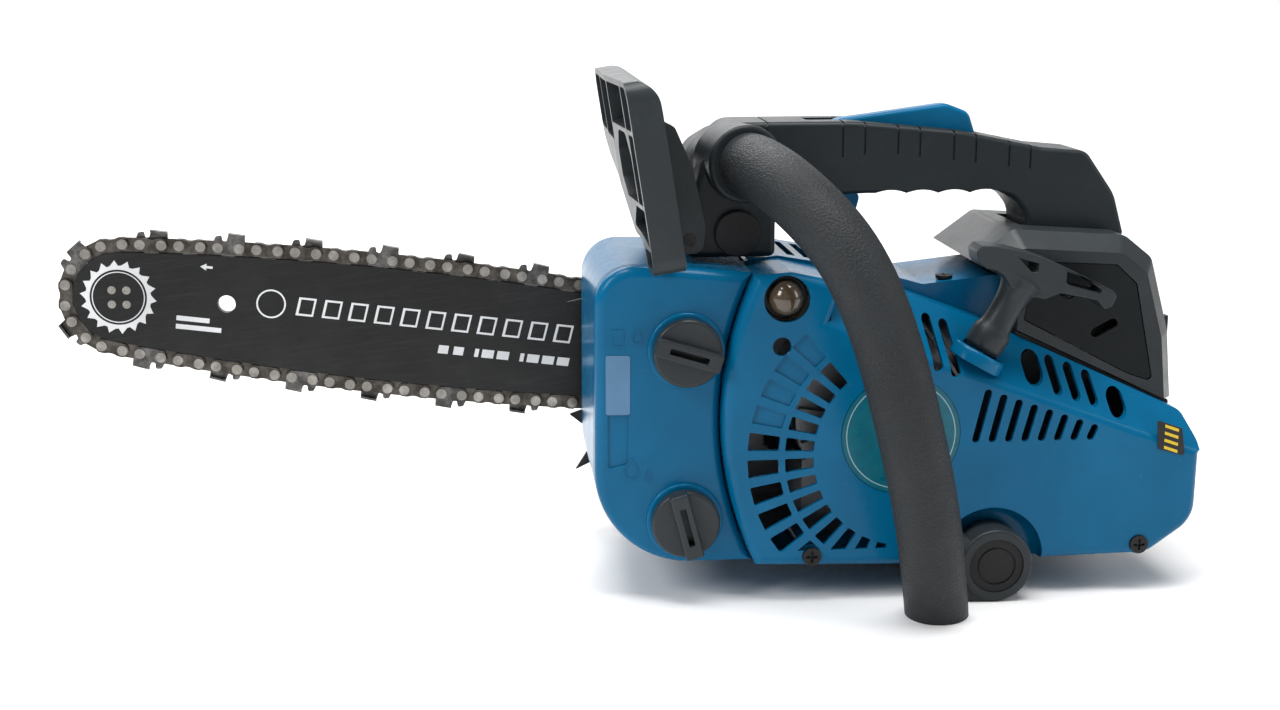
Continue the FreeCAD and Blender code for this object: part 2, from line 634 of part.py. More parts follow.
# ---- housings -----------------------------------------------------------------

def build_tank():
    edge = [(-66.8, 150.6), (-100, 153.6), (-136.9, 154.5, 17), (-137.4, 17.2, 44), (-65.0, 17.2),
            ("arc", -81.0, 84.0)]
    outer = prism(edge, "xz", TANK_Y, 30.0)
    outer = soften(outer, 4.5, on_y(TANK_Y))
    fuel = prism([(-86, 147.5, 5), (-134, 151, 13), (-134.5, 77, 3), (-86, 77, 3)], "xz", TANK_Y + 3.0,
                 27.4)
    oil = prism([(-134.5, 73.0, 3), (-134, 20.5, 40), (-78, 20.5, 3), (-86, 73, 3)], "xz", TANK_Y + 3.0,
                27.4)
    solid = outer.cut(fuel).cut(oil)
    for x, z in (FUEL, OIL):
        neck = cyl(x, TANK_Y - 2.0, z, 17.4, 14.0)
        neck = soften(neck, 1.0, on_y(TANK_Y - 2.0))
        solid = solid.fuse(neck)
        solid = solid.cut(cyl(x, TANK_Y - 3.0, z, 13.0, 16.0))
    # recessed level band and the double lip along the front and top edge
    band = prism([(-131.5, 97, 1.5), (-122.0, 95, 1.5), (-122.5, 65, 1.5), (-131.5, 63, 1.5)], "xz",
                 TANK_Y - 1, TANK_Y + 0.8)
    solid = solid.cut(band)
    for depth in (6.0, 9.0):
        ring = prism([(-66, 175), (-160, 175), (-160, 0), (-66, 0)], "xz", TANK_Y + depth,
                     TANK_Y + depth + 1.1)
        inner = prism([(-50, 150.0), (-100, 152.8), (-136.1, 153.7, 16.3), (-136.6, 18.0, 43.3),
                       (-50, 18.0)],
                      "xz", TANK_Y + depth - 1, TANK_Y + depth + 3)
        solid = solid.cut(ring.cut(inner))
    solid = solid.cut(box(-132.2, -60, 31, 60, 0, 200))
    node("tank_housing", solid.removeSplitter())
    for name, (x, z), ang in (("fuel_cap", FUEL, 107.0), ("oil_cap", OIL, 165.0)):
        y = TANK_Y - 3.6
        disc = soften(cyl(x, y - 4.6, z, CAP_R, 4.6), 1.6, on_y(y - 4.6))
        plug = cyl(x, y - 0.2, z, 12.92, 12.0).cut(cyl(x, y + 1.0, z, 10.6, 20))
        bar = prism([(-15.2, -4.2, 1.2), (15.2, -4.2, 1.2), (15.2, 4.2, 1.2), (-15.2, 4.2, 1.2)], "xz",
                    y - 9.2, y - 1.0)
        bar = soften(bar, 1.0, on_y(y - 9.2))
        bar = bar.cut(prism([(-9.0, -1.4, 0.6), (9.0, -1.4, 0.6), (9.0, 1.4, 0.6), (-9.0, 1.4, 0.6)], "xz",
                            y - 10, y - 5.6))
        bar.rotate(V(0, 0, 0), V(0, 1, 0), ang - 90.0)
        bar.translate(V(x, 0, z))
        cut = prism([(-9.0, -1.4, 0.6), (9.0, -1.4, 0.6), (9.0, 1.4, 0.6), (-9.0, 1.4, 0.6)], "xz",
                    y - 10, y - 3.0)
        cut.rotate(V(0, 0, 0), V(0, 1, 0), ang - 90.0)
        cut.translate(V(x, 0, z))
        node(name, fuse([disc, plug, bar]).cut(cut))
        seal = cyl(x, TANK_Y - 3.2, z, 15.0, 0.9).cut(cyl(x, TANK_Y - 5, z, 13.0, 6))
        node(name + "_seal", seal)


def build_starter_housing():
    rim = [(-64.6, 17.2), ("arc", -80.6, 84.0), (-66.4, 150.6), (-50.1, 151.8, 4), (-6.9, 142.4, 20),
           (44.6, 123.4, 10), (136.0, 81.6, 6), (140.5, 70.0, 8), (140.2, 33.0, 16), (118.4, 17.4, 14),
           (60.0, 16.4), (-0.7, 15.4)]
    outer = prism(rim, "xz", FACE_Y, -27.0)
    # slanted facet: plane through the lower line at the face and the upper line further back
    facet = Part.makeBox(260, 60, 60, V(-60, -60, 0))
    facet.rotate(V(0, 0, 0), V(1, 0, 0), -50.0)
    facet.rotate(V(0, 0, 0), V(0, 1, 0), 20.0)
    facet.translate(V(23.0, FACE_Y, 107.6))
    outer = outer.cut(facet)
    outer = soften(outer, 5.0, on_y(FACE_Y))
    inner_rim = [(-61.6, 19.8), ("arc", -78.2, 84.0), (-63.9, 148.6), (-50.4, 149.5, 3), (-7.4, 140.2, 18),
                 (43.7, 121.2, 9), (134.0, 80.1, 4), (138.0, 69.4, 6), (137.9, 33.6, 14), (117.6, 19.7,
                                                                                           12),
                 (60.0, 18.7), (-0.7, 17.7)]
    inner = prism(inner_rim, "xz", FACE_Y + WALL, -20.0)
    facet2 = facet.copy()
    facet2.translate(V(-0.6, WALL * 0.75, -WALL * 0.75))
    inner = inner.cut(facet2)
    # scoop above the mounting boss
    scoop = soften(cyl(BOSS[0], FACE_Y - 1, BOSS[1] + 1, 24.0, 11.0), 5.0, on_y(FACE_Y + 10.0))
    outer = outer.cut(scoop)
    inner = inner.cut(cyl(BOSS[0], FACE_Y - 1, BOSS[1] + 1, 26.2, 13.2))
    solid = outer.cut(inner)
    # radial louvres
    lx, lz = LOUVRE_C
    field = prism([(-60.5, 24.4), ("arc", -75.1, 84.0), (-62.4, 146.0), (60, 146), (60, 24.4)], "xz",
                  -90, 0)
    for k in range(13):
        a = 134.0 + 10.1 * k
        for r0, r1, w0, w1 in ((43.5, 56.6, 2.3, 3.2), (59.4, 73.5, 3.3, 4.3)):
            blind = r0 > 50 and k < 4
            y1 = FACE_Y + 1.0 if blind else FACE_Y + 6
            s = prism([(r0, -w0, 0.8), (r1, -w1, 0.8), (r1, w1, 0.8), (r0, w0, 0.8)], "xz", FACE_Y - 2, y1)
            s.rotate(V(0, 0, 0), V(0, 1, 0), -a)
            s.translate(V(lx, 0, lz))
            solid = solid.cut(s.common(field))
    for i, (x, z) in enumerate(((-1.5, 123.4), (7.0, 120.6), (15.2, 117.8), (23.3, 115.0))):
        solid = solid.cut(slot(x, z, 4.6, 23.0, -6.0, FACE_Y - 3, -30))
    for x, z, w, h in ((63.0, 104.4, 9.6, 14.0), (73.2, 100.6, 4.8, 15.5), (82.0, 97.4, 4.8, 15.0),
                       (90.6, 94.2, 4.8, 14.0), (102.6, 87.6, 9.0, 12.5)):
        solid = solid.cut(slot(x, z, w, h, -5.0, FACE_Y - 3, -30))
    for k in range(8):
        t = k / 7.0
        xt, zt = 39.8 + 50.3 * t, 97.6 - 17.4 * t
        xb, zb = 34.2 + 53.0 * t, 73.0
        ang = math.degrees(math.atan2(xt - xb, zt - zb))
        solid = solid.cut(slot((xt + xb) / 2, (zt + zb) / 2, 3.5, math.hypot(xt - xb, zt - zb), ang, -76,
                               -60))
    solid = solid.cut(cyl(PRIMER[0], -80, PRIMER[1], 10.3, 60))
    solid = solid.cut(cyl(-54.7, -80, 119.2, 4.2, 60))
    # emblem seat, rope pocket and screw bosses
    solid = solid.cut(cyl(0, FACE_Y - 1, 77.6, 27.3, 1.6))
    grip = V(*GRIP_AXIS).normalize()
    g0 = V(39.0, -61.0, 116.0)
    solid = solid.cut(Part.makeCylinder(9.4, 40, g0 - grip * 6.5, grip))
    eye = Part.makeCylinder(11.4, 3.0, g0 - grip * 9.4, grip)
    wrap = prism(rim, "xz", FACE_Y + 1.0, -40.0)
    solid = solid.fuse(eye.common(wrap))
    solid = solid.cut(Part.makeCylinder(2.6, 40, g0 - grip * 26, grip))
    solid = solid.fuse(cyl(CRANK_X, -68.5, CRANK_Z, 6.94, 10.3))
    limit = prism(rim, "xz", -68.2, -27.0)
    for x, z in ((113.4, 22.6), (-39.5, 21.6)):
        solid = solid.fuse(cyl(x, -67.9, z, 5.0, 40.0).common(limit))
        solid = solid.cut(cyl(x, -80, z, 1.9, 80)).cut(cyl(x, -80, z, 4.4, 11.0))
    node("starter_housing", max(solid.Solids, key=lambda s: s.Volume))
    plate = soften(cyl(PRIMER[0], -63.5, PRIMER[1], 10.0, 6.0), 0.8, on_y(-63.5))
    plate = plate.cut(cyl(PRIMER[0], -70, PRIMER[1], 7.98, 11.0))
    node("primer_base", plate)
    dome = Part.makeSphere(7.9, V(PRIMER[0], -66.0, PRIMER[1])).common(cyl(PRIMER[0], -80, PRIMER[1], 9,
                                                                           14.0))
    dome = dome.fuse(cyl(PRIMER[0], -66.0, PRIMER[1], 7.9, 4.0))
    hollow = Part.makeSphere(6.9, V(PRIMER[0], -66.0, PRIMER[1])).fuse(cyl(PRIMER[0], -66, PRIMER[1],
                                                                           6.9, 9.0))
    node("primer_bulb", dome.cut(hollow).removeSplitter())
    node("labels", cyl(0, FACE_Y - 0.2, 77.6, 27.0, 0.7), label_patch())
    heads = [screw(V(30.6, -20.0, 139.5), V(0, 0, -1), 4.0, 2.0, 1.6, 2.8)]
    for x, z in ((113.4, 22.6), (-39.5, 21.6)):
        heads.append(screw(V(x, -69.0, z), V(0, 1, 0), 4.2, 2.2, 1.85, 18.0))
    node("housing_screws", *heads)
    spring = cyl(CRANK_X, -67.4, CRANK_Z, 18.0, 3.2).cut(cyl(CRANK_X, -69, CRANK_Z, 9.5, 8))
    node("rewind_spring", spring)
    pulley = fuse([cyl(CRANK_X, -63.6, CRANK_Z, 20.0, 5.2), cyl(CRANK_X, -63.6, CRANK_Z, 25.0, 1.0),
                   cyl(CRANK_X, -59.4, CRANK_Z, 25.0, 1.0)]).cut(cyl(CRANK_X, -70, CRANK_Z, 7.0, 20))
    node("starter_pulley", pulley)
    pull = V(*GRIP_AXIS).normalize()
    start = g0 - pull * 53.0
    lead = rod(start, g0 - pull * 2.8, 1.5)
    node("starter_rope", lead)
    # T-grip: stem with a flared cup and a cross bar with two windows
    cup = Part.makeCone(8.6, 6.6, 10, g0 - pull * 2.5, pull)
    stem = Part.makeCone(6.4, 6.0, 34, g0 + pull * 6.5, pull)
    bar = prism([(-31.5, 33.0, 3), (-25.0, 46.0, 5), (0.0, 49.5, 20), (25.0, 46.0, 5), (31.5, 33.0, 3),
                 (27.0, 29.5, 2), (12.0, 36.5, 6), (0.0, 37.0, 5), (-12.0, 36.5, 6), (-27.0, 29.5, 2)],
                 "xz", -7.5, 7.5)
    bar = soften(bar, 2.4, lambda e: all(abs(abs(v.Point.y) - 7.5) < 0.01 for v in e.Vertexes))
    for sgn in (1, -1):
        win = prism([(sgn * 9.0, 39.0, 0.8), (sgn * 9.0, 45.0, 0.8), (sgn * 22.0, 42.8, 0.8),
                     (sgn * 23.5, 37.0, 0.8), (sgn * 18.0, 38.6, 0.8)], "xz", -10, 10)
        bar = bar.cut(win)
    ax = V(0, 0, 1)
    rot = FreeCAD.Rotation(ax, pull)
    bar.rotate(V(0, 0, 0), V(0, 0, 1), 0.0)
    bar = bar.transformGeometry(FreeCAD.Placement(g0, rot).toMatrix())
    handle = fuse([cup, stem, bar])
    handle = handle.cut(Part.makeCylinder(1.9, 30.0, g0 - pull * 3.5, pull))
    node("starter_grip", handle)
    return g0, pull


def label_patch():
    pts = [(118.6, 81.6, 1), (130.6, 77.4, 1), (132.6, 64.4, 1), (119.6, 68.0, 1)]
    return prism(pts, "xz", FACE_Y - 0.35, FACE_Y - 0.02)


def build_covers(plug_dir, seat):
    # cylinder cover over the engine, between tank and rear cover
    top = [(-64.0, 151.2), (-50.0, 152.9, 6), (-6.5, 145.4, 18), (8.0, 141.4), (18.9, 138.3, 4),
           (53.5, 142.2, 2), (57.4, 141.0, 1.5), (57.4, 118.6)]
    low = [(55.2, 118.6), (55.2, 139.2, 0.8), (52.9, 139.7, 1), (19.4, 135.9, 3), (7.4, 139.1),
           (-6.9, 143.1, 18), (-50.2, 150.5, 6), (-63.6, 148.9)]
    shell = prism(top + low, "xz", -26.6, 33.0)
    shell = shell.cut(box(54, 60, -24.4, 32.6, 110, 138.6))
    side = prism([(-64.0, 148.9), (-50.2, 150.5, 6), (-6.9, 143.1, 18), (7.4, 139.2), (19.4, 136.0, 3),
                  (57.4, 140.2), (57.4, 119.8), (-64.0, 119.8)], "xz", 30.8, 33.0)
    near = prism([(-50.2, 150.5), (-6.9, 143.2), (7.4, 139.2), (19.4, 136.0, 3), (57.4, 140.2),
                  (57.4, 119.8), (42.0, 119.8), (-6.0, 137.0), (-50.0, 146.5)], "xz", -26.6, -24.6)
    side = side.cut(box(-52, -32, 30, 34, 122.5, 133.5))
    cover = fuse([shell, side, near])
    cover = max(cover.Solids, key=lambda q: q.Volume)
    cover = cover.cut(cyl(30.6, -20, 132, 1.65, 20, "z")).cut(cyl(30.6, -20, 139.4, 4.2, 20, "z"))
    for k in range(5):
        cover = cover.cut(box(-44 + 8 * k, -40 + 8 * k, -18, 24, 135, 160))
    node("cylinder_cover", cover)
    # rear cover: hood over carburettor and filter
    rim = [(38.5, 150.9), (57.7, 165.0, 5), (111.0, 161.6, 8), (124.6, 150.8, 6), (134.4, 116.0, 8),
           (137.6, 84.0), (134.6, 84.0), (112.0, 94.4), (58.8, 119.6), (58.8, 141.2)]
    rim_l = [(43.5, 148.5), (60.5, 157.6, 5), (107.5, 154.6, 8), (119.0, 145.5, 6), (127.8, 114.5, 8),
             (130.8, 85.4), (129.8, 85.8), (112.0, 94.4), (58.8, 119.6), (58.8, 141.2)]
    outer = fuse([prism(rim, "xz", -36.0, 32.0), ruled(rim_l, -46.5, rim, -36.0), ruled(rim, 32.0, rim_l,
                                                                                        42.0)])
    inside = [(43.0, 151.4), (58.6, 162.4, 4), (110.2, 159.2, 7), (122.8, 149.4, 5), (132.2, 115.6, 7),
              (135.2, 70.0), (112.0, 70.0), (61.2, 100.0), (61.2, 142.8)]
    inside_l = [(47.5, 149.2), (61.4, 155.2, 4), (106.8, 152.4, 7), (117.4, 144.2, 5), (125.6, 114.0, 7),
                (128.4, 70.0), (112.0, 70.0), (61.2, 100.0), (61.2, 142.8)]
    hollow = fuse([prism(inside, "xz", -35.0, 31.0), ruled(inside_l, -44.0, inside, -35.0),
                   ruled(inside, 31.0, inside_l, 39.6)])
    shell = outer.cut(hollow)
    # cut-out for the handle leg and the flat service panel
    shell = shell.cut(box(66.4, 119.2, -19.4, 19.4, 150, 170))
    window = prism([(61.5, 124.4, 2), (66.0, 151.6, 4), (104.6, 149.6, 4), (114.6, 140.6, 4),
                    (124.8, 93.6, 2),
                    (112.0, 98.0, 2)], "xz", -50, -43)
    shell = shell.cut(window)
    shell = shell.cut(cyl(128.0, 0, 105.0, 5.1, 20, "x")).cut(box(128, 142, 21.4, 27.6, 102.0, 108.6))
    shell = shell.cut(box(30, 66, -30, 34, 60, 141.0))
    shell = shell.cut(box(30, 142, 33, 50, 60, 84.0))
    node("rear_cover", max(shell.Solids, key=lambda s: s.Volume))
    panel = prism([(61.9, 124.7, 2), (66.4, 151.2, 4), (104.4, 149.2, 4), (114.2, 140.3, 4),
                   (124.3, 94.1, 2),
                   (112.0, 98.5, 2)], "xz", -46.1, -43.6)
    panel = panel.cut(slot(100.2, 119.8, 4.6, 13.5, 62.0, -50, -40))
    panel = panel.cut(cyl(82.0, -50, 137.6, 4.1, 10))
    node("carb_panel", panel)
    knob = fuse([cyl(137.3, 0, 105.0, 10.5, 7.5, "x"), cyl(128.0, 0, 105.0, 5.04, 10, "x"),
                 box(140, 148.5, -2.2, 2.2, 94.0, 116.0)])
    node("filter_knob", knob)
    # clutch cover on the right, hollow towards the bar
    rim = [(-124.0, 44.0, 14), (-130.0, 122.0, 16), (-60.0, 132.0, 18), (6.0, 128.0, 26), (42.0, 92.0, 24),
           (36.0, 36.0, 20), (-60.0, 26.0, 16)]
    outer = soften(prism(rim, "xz", 54.2, 84.0), 7.0, on_y(84.0))
    rim2 = [(-120.0, 47.0, 12), (-126.5, 119.0, 14), (-60.0, 129.0, 16), (5.0, 125.0, 24),
            (39.0, 91.0, 22),
            (33.0, 38.6, 18), (-60.0, 29.0, 14)]
    shell = outer.cut(prism(rim2, "xz", 50.0, 81.4))
    posts = []
    for u in STUD_U:
        x, z = bar_point(u, 0)
        posts.append(cyl(x, 52.6, z, 11.0, 29.4))
    x0, z0 = bar_point(STUD_U[0], 0)
    x1, z1 = bar_point(STUD_U[1], 0)
    posts.append(prism([(x0, z0 - 9), (x0, z0 + 9), (x1, z1 + 9), (x1, z1 - 9)], "xz", 52.6, 82.0))
    shell = fuse([shell] + posts)
    for u in STUD_U:
        x, z = bar_point(u, 0)
        shell = shell.cut(cyl(x, 40, z, STUD_R + 0.2, 60)).cut(cyl(x, 72.0, z, 9.6, 20))
    shell = shell.cut(box(-150, -100, 45, 56.5, 0, 200))
    for k in range(5):
        shell = shell.cut(slot(-24 + 9 * k, 88, 4.0, 46 - 3 * abs(k - 2), 0, 78, 90))
    node("clutch_cover", shell)
    studs, nuts = [], []
    for u in STUD_U:
        x, z = bar_point(u, 0)
        studs.append(cyl(x, 30.2, z, STUD_R - 0.02, 48.0))
        hexa = [(x + 7.5 * math.cos(math.pi / 3 * i),
                 z + 7.5 * math.sin(math.pi / 3 * i)) for i in range(6)]
        nut = prism(hexa, "xz", 72.3, 79.5).cut(cyl(x, 70, z, STUD_R, 20))
        nut = nut.fuse(cyl(x, 72.1, z, 9.0, 1.6).cut(cyl(x, 70, z, STUD_R, 20)))
        nuts.append(nut)
    node("bar_studs_nuts", *(studs + nuts))
    tx, tz = bar_point(STUD_U[0] - 22, -12)
    shaft = fuse([cyl(-126.0, 41.8, tz, 1.9, 88, "x"), cyl(-133.0, 41.8, tz, 3.6, 7, "x")])
    nutp = fuse([box(tx - 4.5, tx + 4.5, 39.6, 43.9, tz - 3.6, tz + 3.6), cyl(tx, 43.0, tz, 2.6, 9.0)])
    nutp = nutp.cut(cyl(-140, 41.8, tz, 1.95, 120, "x"))
    node("bar_tensioner", shaft, nutp)
    catcher = prism([(-116, 20, 3), (-116, 34, 3), (-84, 40, 3), (-78, 24, 3)], "xz", 47.7, 53.0)
    node("chain_catcher", catcher)
    spike = prism([(-144.2, 121.6), (-127.2, 119.4), (-127.2, 108.0), (-133.6, 106.8), (-135.4, 96.0),
                   (-128.0, 92.0),
                   (-128.0, 70.0), (-143.2, 64.6), (-130.0, 54.0), (-133.0, 48.0), (-140.4, 36.2),
                   (-127.0, 42.6),
                   (-122.0, 34.0), (-114.0, 40.0), (-114.0, 124.5), (-124.0, 126.0)], "xz", 31.4, 33.8)
    node("spike_plate", spike)


def build_handles():
    # front handle: bent tube in a ribbed sleeve; it stands on its cut lower end
    pts = [V(-72.0, -14.0, 196.6), V(-69.5, -30.0, 197.2), V(-62.5, -58.0, 195.6), V(-51.5, -86.0, 187.0),
           V(-35.4, -105.0, 167.9), V(-20.7, -115.0, 135.6), V(-8.3, -117.5, 92.8), V(1.6, -111.0, 55.5),
           V(8.8, -100.0, 24.0), V(12.9, -92.0, 4.9), V(15.4, -86.0, -8.0)]
    spine = Part.BSplineCurve()
    spine.interpolate(pts)
    path = Part.Wire([spine.toShape()])

    def sweep(r):
        t0 = spine.tangent(spine.FirstParameter)[0]
        circle = Part.Wire([Part.makeCircle(r, pts[0], t0)])
        return path.makePipeShell([circle], True, True)

    outer = sweep(TUBE_R)
    core = sweep(10.6)
    bore = sweep(9.2)
    below = box(-60, 80, -160, -40, -40, 0.0)
    start = box(-120, -20, -26.2, 40, 150, 240)
    sleeve = outer.cut(sweep(10.65)).cut(below).cut(start)
    foot = box(-60, 80, -160, -40, -40, 1.0)
    end = box(-120, -20, -24.6, 40, 150, 240)
    metal = core.cut(bore).cut(foot).cut(end)
    plug = bore.common(box(-60, 80, -160, -40, 1.0, 9.0))
    node("front_handle_sleeve", max(sleeve.Solids, key=lambda s: s.Volume))
    node("front_handle_tube", max(metal.Solids, key=lambda s: s.Volume))
    # lower bracket: flange, web to the tube and cross member to the far side
    bx, bz = BOSS
    flange = soften(cyl(bx, -79.0, bz, 17.0, 16.5), 1.6, on_y(-79.0))
    web = prism([(14.0, 1.6), (14.0, 30.0, 4), (30.0, 31.0), (44.0, 20.0), (44.0, 0.4)], "xz", -78.0,
                -70.6)
    beam = soften(box(18.0, 58.0, -66.0, 35.4, 3.0, 11.0), 2.0, lambda e: e.Length > 60)
    post = box(bx - 12, bx + 12, -68.0, -58.0, 3.0, 15.0)
    low = fuse([flange, web, beam, post])
    low = low.cut(cyl(bx, -90, bz, 12.6, 15.6)).cut(cyl(bx, -80, bz, 4.0, 18))
    low = low.cut(outer)
    low = low.cut(box(-200, 200, -200, 200, -20, 0.2))
    node("lower_bracket", max(low.Solids, key=lambda s: s.Volume))
    rubber = fuse([cyl(bx, -78.4, bz, 12.4, 2.4), cyl(bx, -76.6, bz, 12.4, 2.0)])
    rubber = rubber.cut(cyl(bx, -79, bz, 9.0, 1.2).cut(cyl(bx, -79, bz, 8.0, 1.2)))
    front = soften(cyl(-71.0, -43.2, 165.6, 10.4, 3.0), 0.8, on_y(-43.2))
    front = front.fuse(cyl(-71.0, -40.6, 165.6, 6.0, 8.0))
    rear = [cyl(92.0, 0, 137.5, 9.0, 8.2, "z")]
    node("av_buffers", rubber, front, *rear)

    # top handle frame: front bracket, grip bar and rear leg
    def grip_profile(inset):
        k = inset
        return [(-93.0 + k, 154.4 + k, 3), (-94.2 + k, 172.0, 20), (-86.5 + k, 201.0, 12),
                (-72.0, 213.0 - k, 10),
                (-54.0, 213.2 - k, 14), (-14.0, 213.2 - k, 60), (38.0, 208.2 - k, 60), (76.0, 200.4 - k,
                                                                                        20),
                (98.0 - k * 0.3, 198.4 - k, 7), (112.6 - k, 178.0, 20), (118.6 - k, 157.4 + k * 0.2, 2),
                (69.4 + k, 157.4 + k * 0.2, 3), (70.6 + k, 168.0, 12), (62.5 + k * 0.5, 178.3 + k, 12),
                (-6.0, 179.6 + k, 20), (-46.0, 178.0 + k, 16), (-53.2 - k, 164.0, 5), (-53.2 - k,
                                                                                       154.4 + k, 3)]

    body = prism(grip_profile(0.0), "xz", -17.0, 17.0)
    body = soften(body, 9.0,
                  lambda e: e.Length > 3 and all(abs(abs(v.Point.y) - 17.0) < 0.01 for v in e.Vertexes))
    wide = prism([(-93.0, 154.4, 3), (-94.2, 172.0, 20), (-86.5, 200.0, 12), (-74.0, 207.5, 12),
                  (-62.0, 207.5, 12),
                  (-53.2, 196.0, 10), (-53.2, 154.4, 3)], "xz", -40.0, 40.0)
    wide = soften(wide, 3.0,
                  lambda e: e.Length > 3 and all(abs(abs(v.Point.y) - 40.0) < 0.01 for v in e.Vertexes))
    hollow = prism([(-90.4, 150.0), (-91.0, 172.0, 18), (-84.0, 197.0, 10), (-74.0, 203.5, 8),
                    (-64.0, 203.5, 8),
                    (-56.2, 194.0, 8), (-56.2, 150.0)], "xz", -37.0, 37.0)
    collar = rod(V(-72.0, -18.0, 196.6), V(-67.4, -45.0, 197.0), 17.5)
    collar = soften(collar, 2.0, lambda e: e.Length > 30)
    legs = prism([(70.0, 150.2, 2), (70.0, 170.0), (112.0, 170.0), (112.0, 150.2, 2)], "xz", -14.0, 14.0)
    stem = box(78, 106, -14, 14, 146.0, 158)
    frame = fuse([wide.cut(hollow), body, collar, legs, stem])
    frame = frame.cut(prism([(-90.4, 150.0), (-91.0, 172.0, 18), (-86.0, 188.0, 6), (-56.2, 188.0, 6),
                             (-56.2, 150.0)], "xz", -37.0, 37.0))
    frame = frame.cut(outer)
    frame = frame.cut(cyl(-71.0, -50, 165.6, 10.7, 8.0)).cut(cyl(-71.0, -45, 165.6, 6.05, 10))
    frame = frame.cut(Part.makeCylinder(3.06, 120, V(GUARD_PIVOT[0], -60, GUARD_PIVOT[1]), V(0, 1, 0)))
    # throttle channel inside the grip: open at the bottom for the trigger, at the top for the lockout
    frame = frame.cut(box(-46.0, 0.0, -4.6, 4.6, 170.0, 204.0))
    frame = frame.cut(box(-34.0, 49.5, -5.6, 5.6, 191.4, 220.0))
    frame = frame.cut(box(73.7, 84.3, 16.5, 24.0, 186.2, 193.8))
    frame = frame.cut(cyl(TRIGGER_PIVOT[0], -16, TRIGGER_PIVOT[1], 2.0, 32))
    frame = frame.cut(cyl(LOCKOUT_PIVOT[0], -16, LOCKOUT_PIVOT[1], 2.0, 32))
    # finger scallops under the grip
    for k in range(4):
        frame = frame.cut(cyl(5.0 + 15.0 * k, -30, 163.2, 18.0, 60))
    # anti-slip grooves over the top
    for x in (-54.0, -18.5, -8.1, 7.5, 17.9, 34.0, 44.5, 60.5, 70.7):
        ring = prism([(x - 0.5, 160), (x - 0.5, 230), (x + 0.5, 230), (x + 0.5, 160)], "xz", -20, 20)
        core_keep = prism(grip_profile(0.9), "xz", -16.1, 16.1)
        core_keep = soften(core_keep, 8.4, lambda e: e.Length > 3 and
                           all(abs(abs(v.Point.y) - 16.1) < 0.01 for v in e.Vertexes))
        band = ring.cut(core_keep).cut(box(-200, 200, -40, 40, 100, 199.0 - 0.12 * abs(x)))
        frame = frame.cut(band)
    node("top_handle", max(frame.Solids, key=lambda s: s.Volume))
    pins = [cyl(GUARD_PIVOT[0], -46.4, GUARD_PIVOT[1], 3.0, 12.0), cyl(GUARD_PIVOT[0], 34.4,
                                                                       GUARD_PIVOT[1], 3.0, 12.0),
            cyl(TRIGGER_PIVOT[0], -8.0, TRIGGER_PIVOT[1], 1.98, 16.0),
            cyl(LOCKOUT_PIVOT[0], -9.0, LOCKOUT_PIVOT[1], 1.98, 18.0)]
    node("pivot_pins", *pins)
    # trigger and lockout
    tx, tz = TRIGGER_PIVOT
    blade = prism([(tx - 5.5, tz + 5.0, 3), (tx + 14.0, tz + 3.0, 3), (tx + 26.0, 176.5, 3),
                   (-11.0, 160.5, 2),
                   (-14.5, 159.0, 2), (-19.0, 172.0, 8), (-37.5, 183.5, 6)], "xz", -4.2, 4.2)
    blade = soften(blade, 1.4, lambda e: e.BoundBox.ZMax < 186 and
                   all(abs(abs(v.Point.y) - 4.2) < 0.01 for v in e.Vertexes))
    blade = blade.cut(cyl(tx, -10, tz, 2.05, 20))
    node("throttle_trigger", blade)
    lx, lz = LOCKOUT_PIVOT
    lever = prism([(lx - 5.0, lz + 4.6, 3), (lx + 10.0, 213.6, 6), (33.0, 220.2, 9), (44.0, 216.0, 6),
                   (47.6, 205.4, 2),
                   (38.0, 202.0), (lx + 12.0, 202.0), (lx - 5.0, lz - 4.6, 3)], "xz", -5.2, 5.2)
    lever = soften(lever, 2.0, lambda e: e.BoundBox.ZMin > 206 and
                   all(abs(abs(v.Point.y) - 5.2) < 0.01 for v in e.Vertexes))
    lever = lever.cut(cyl(lx, -10, lz, 2.05, 20))
    node("trigger_lockout", lever)


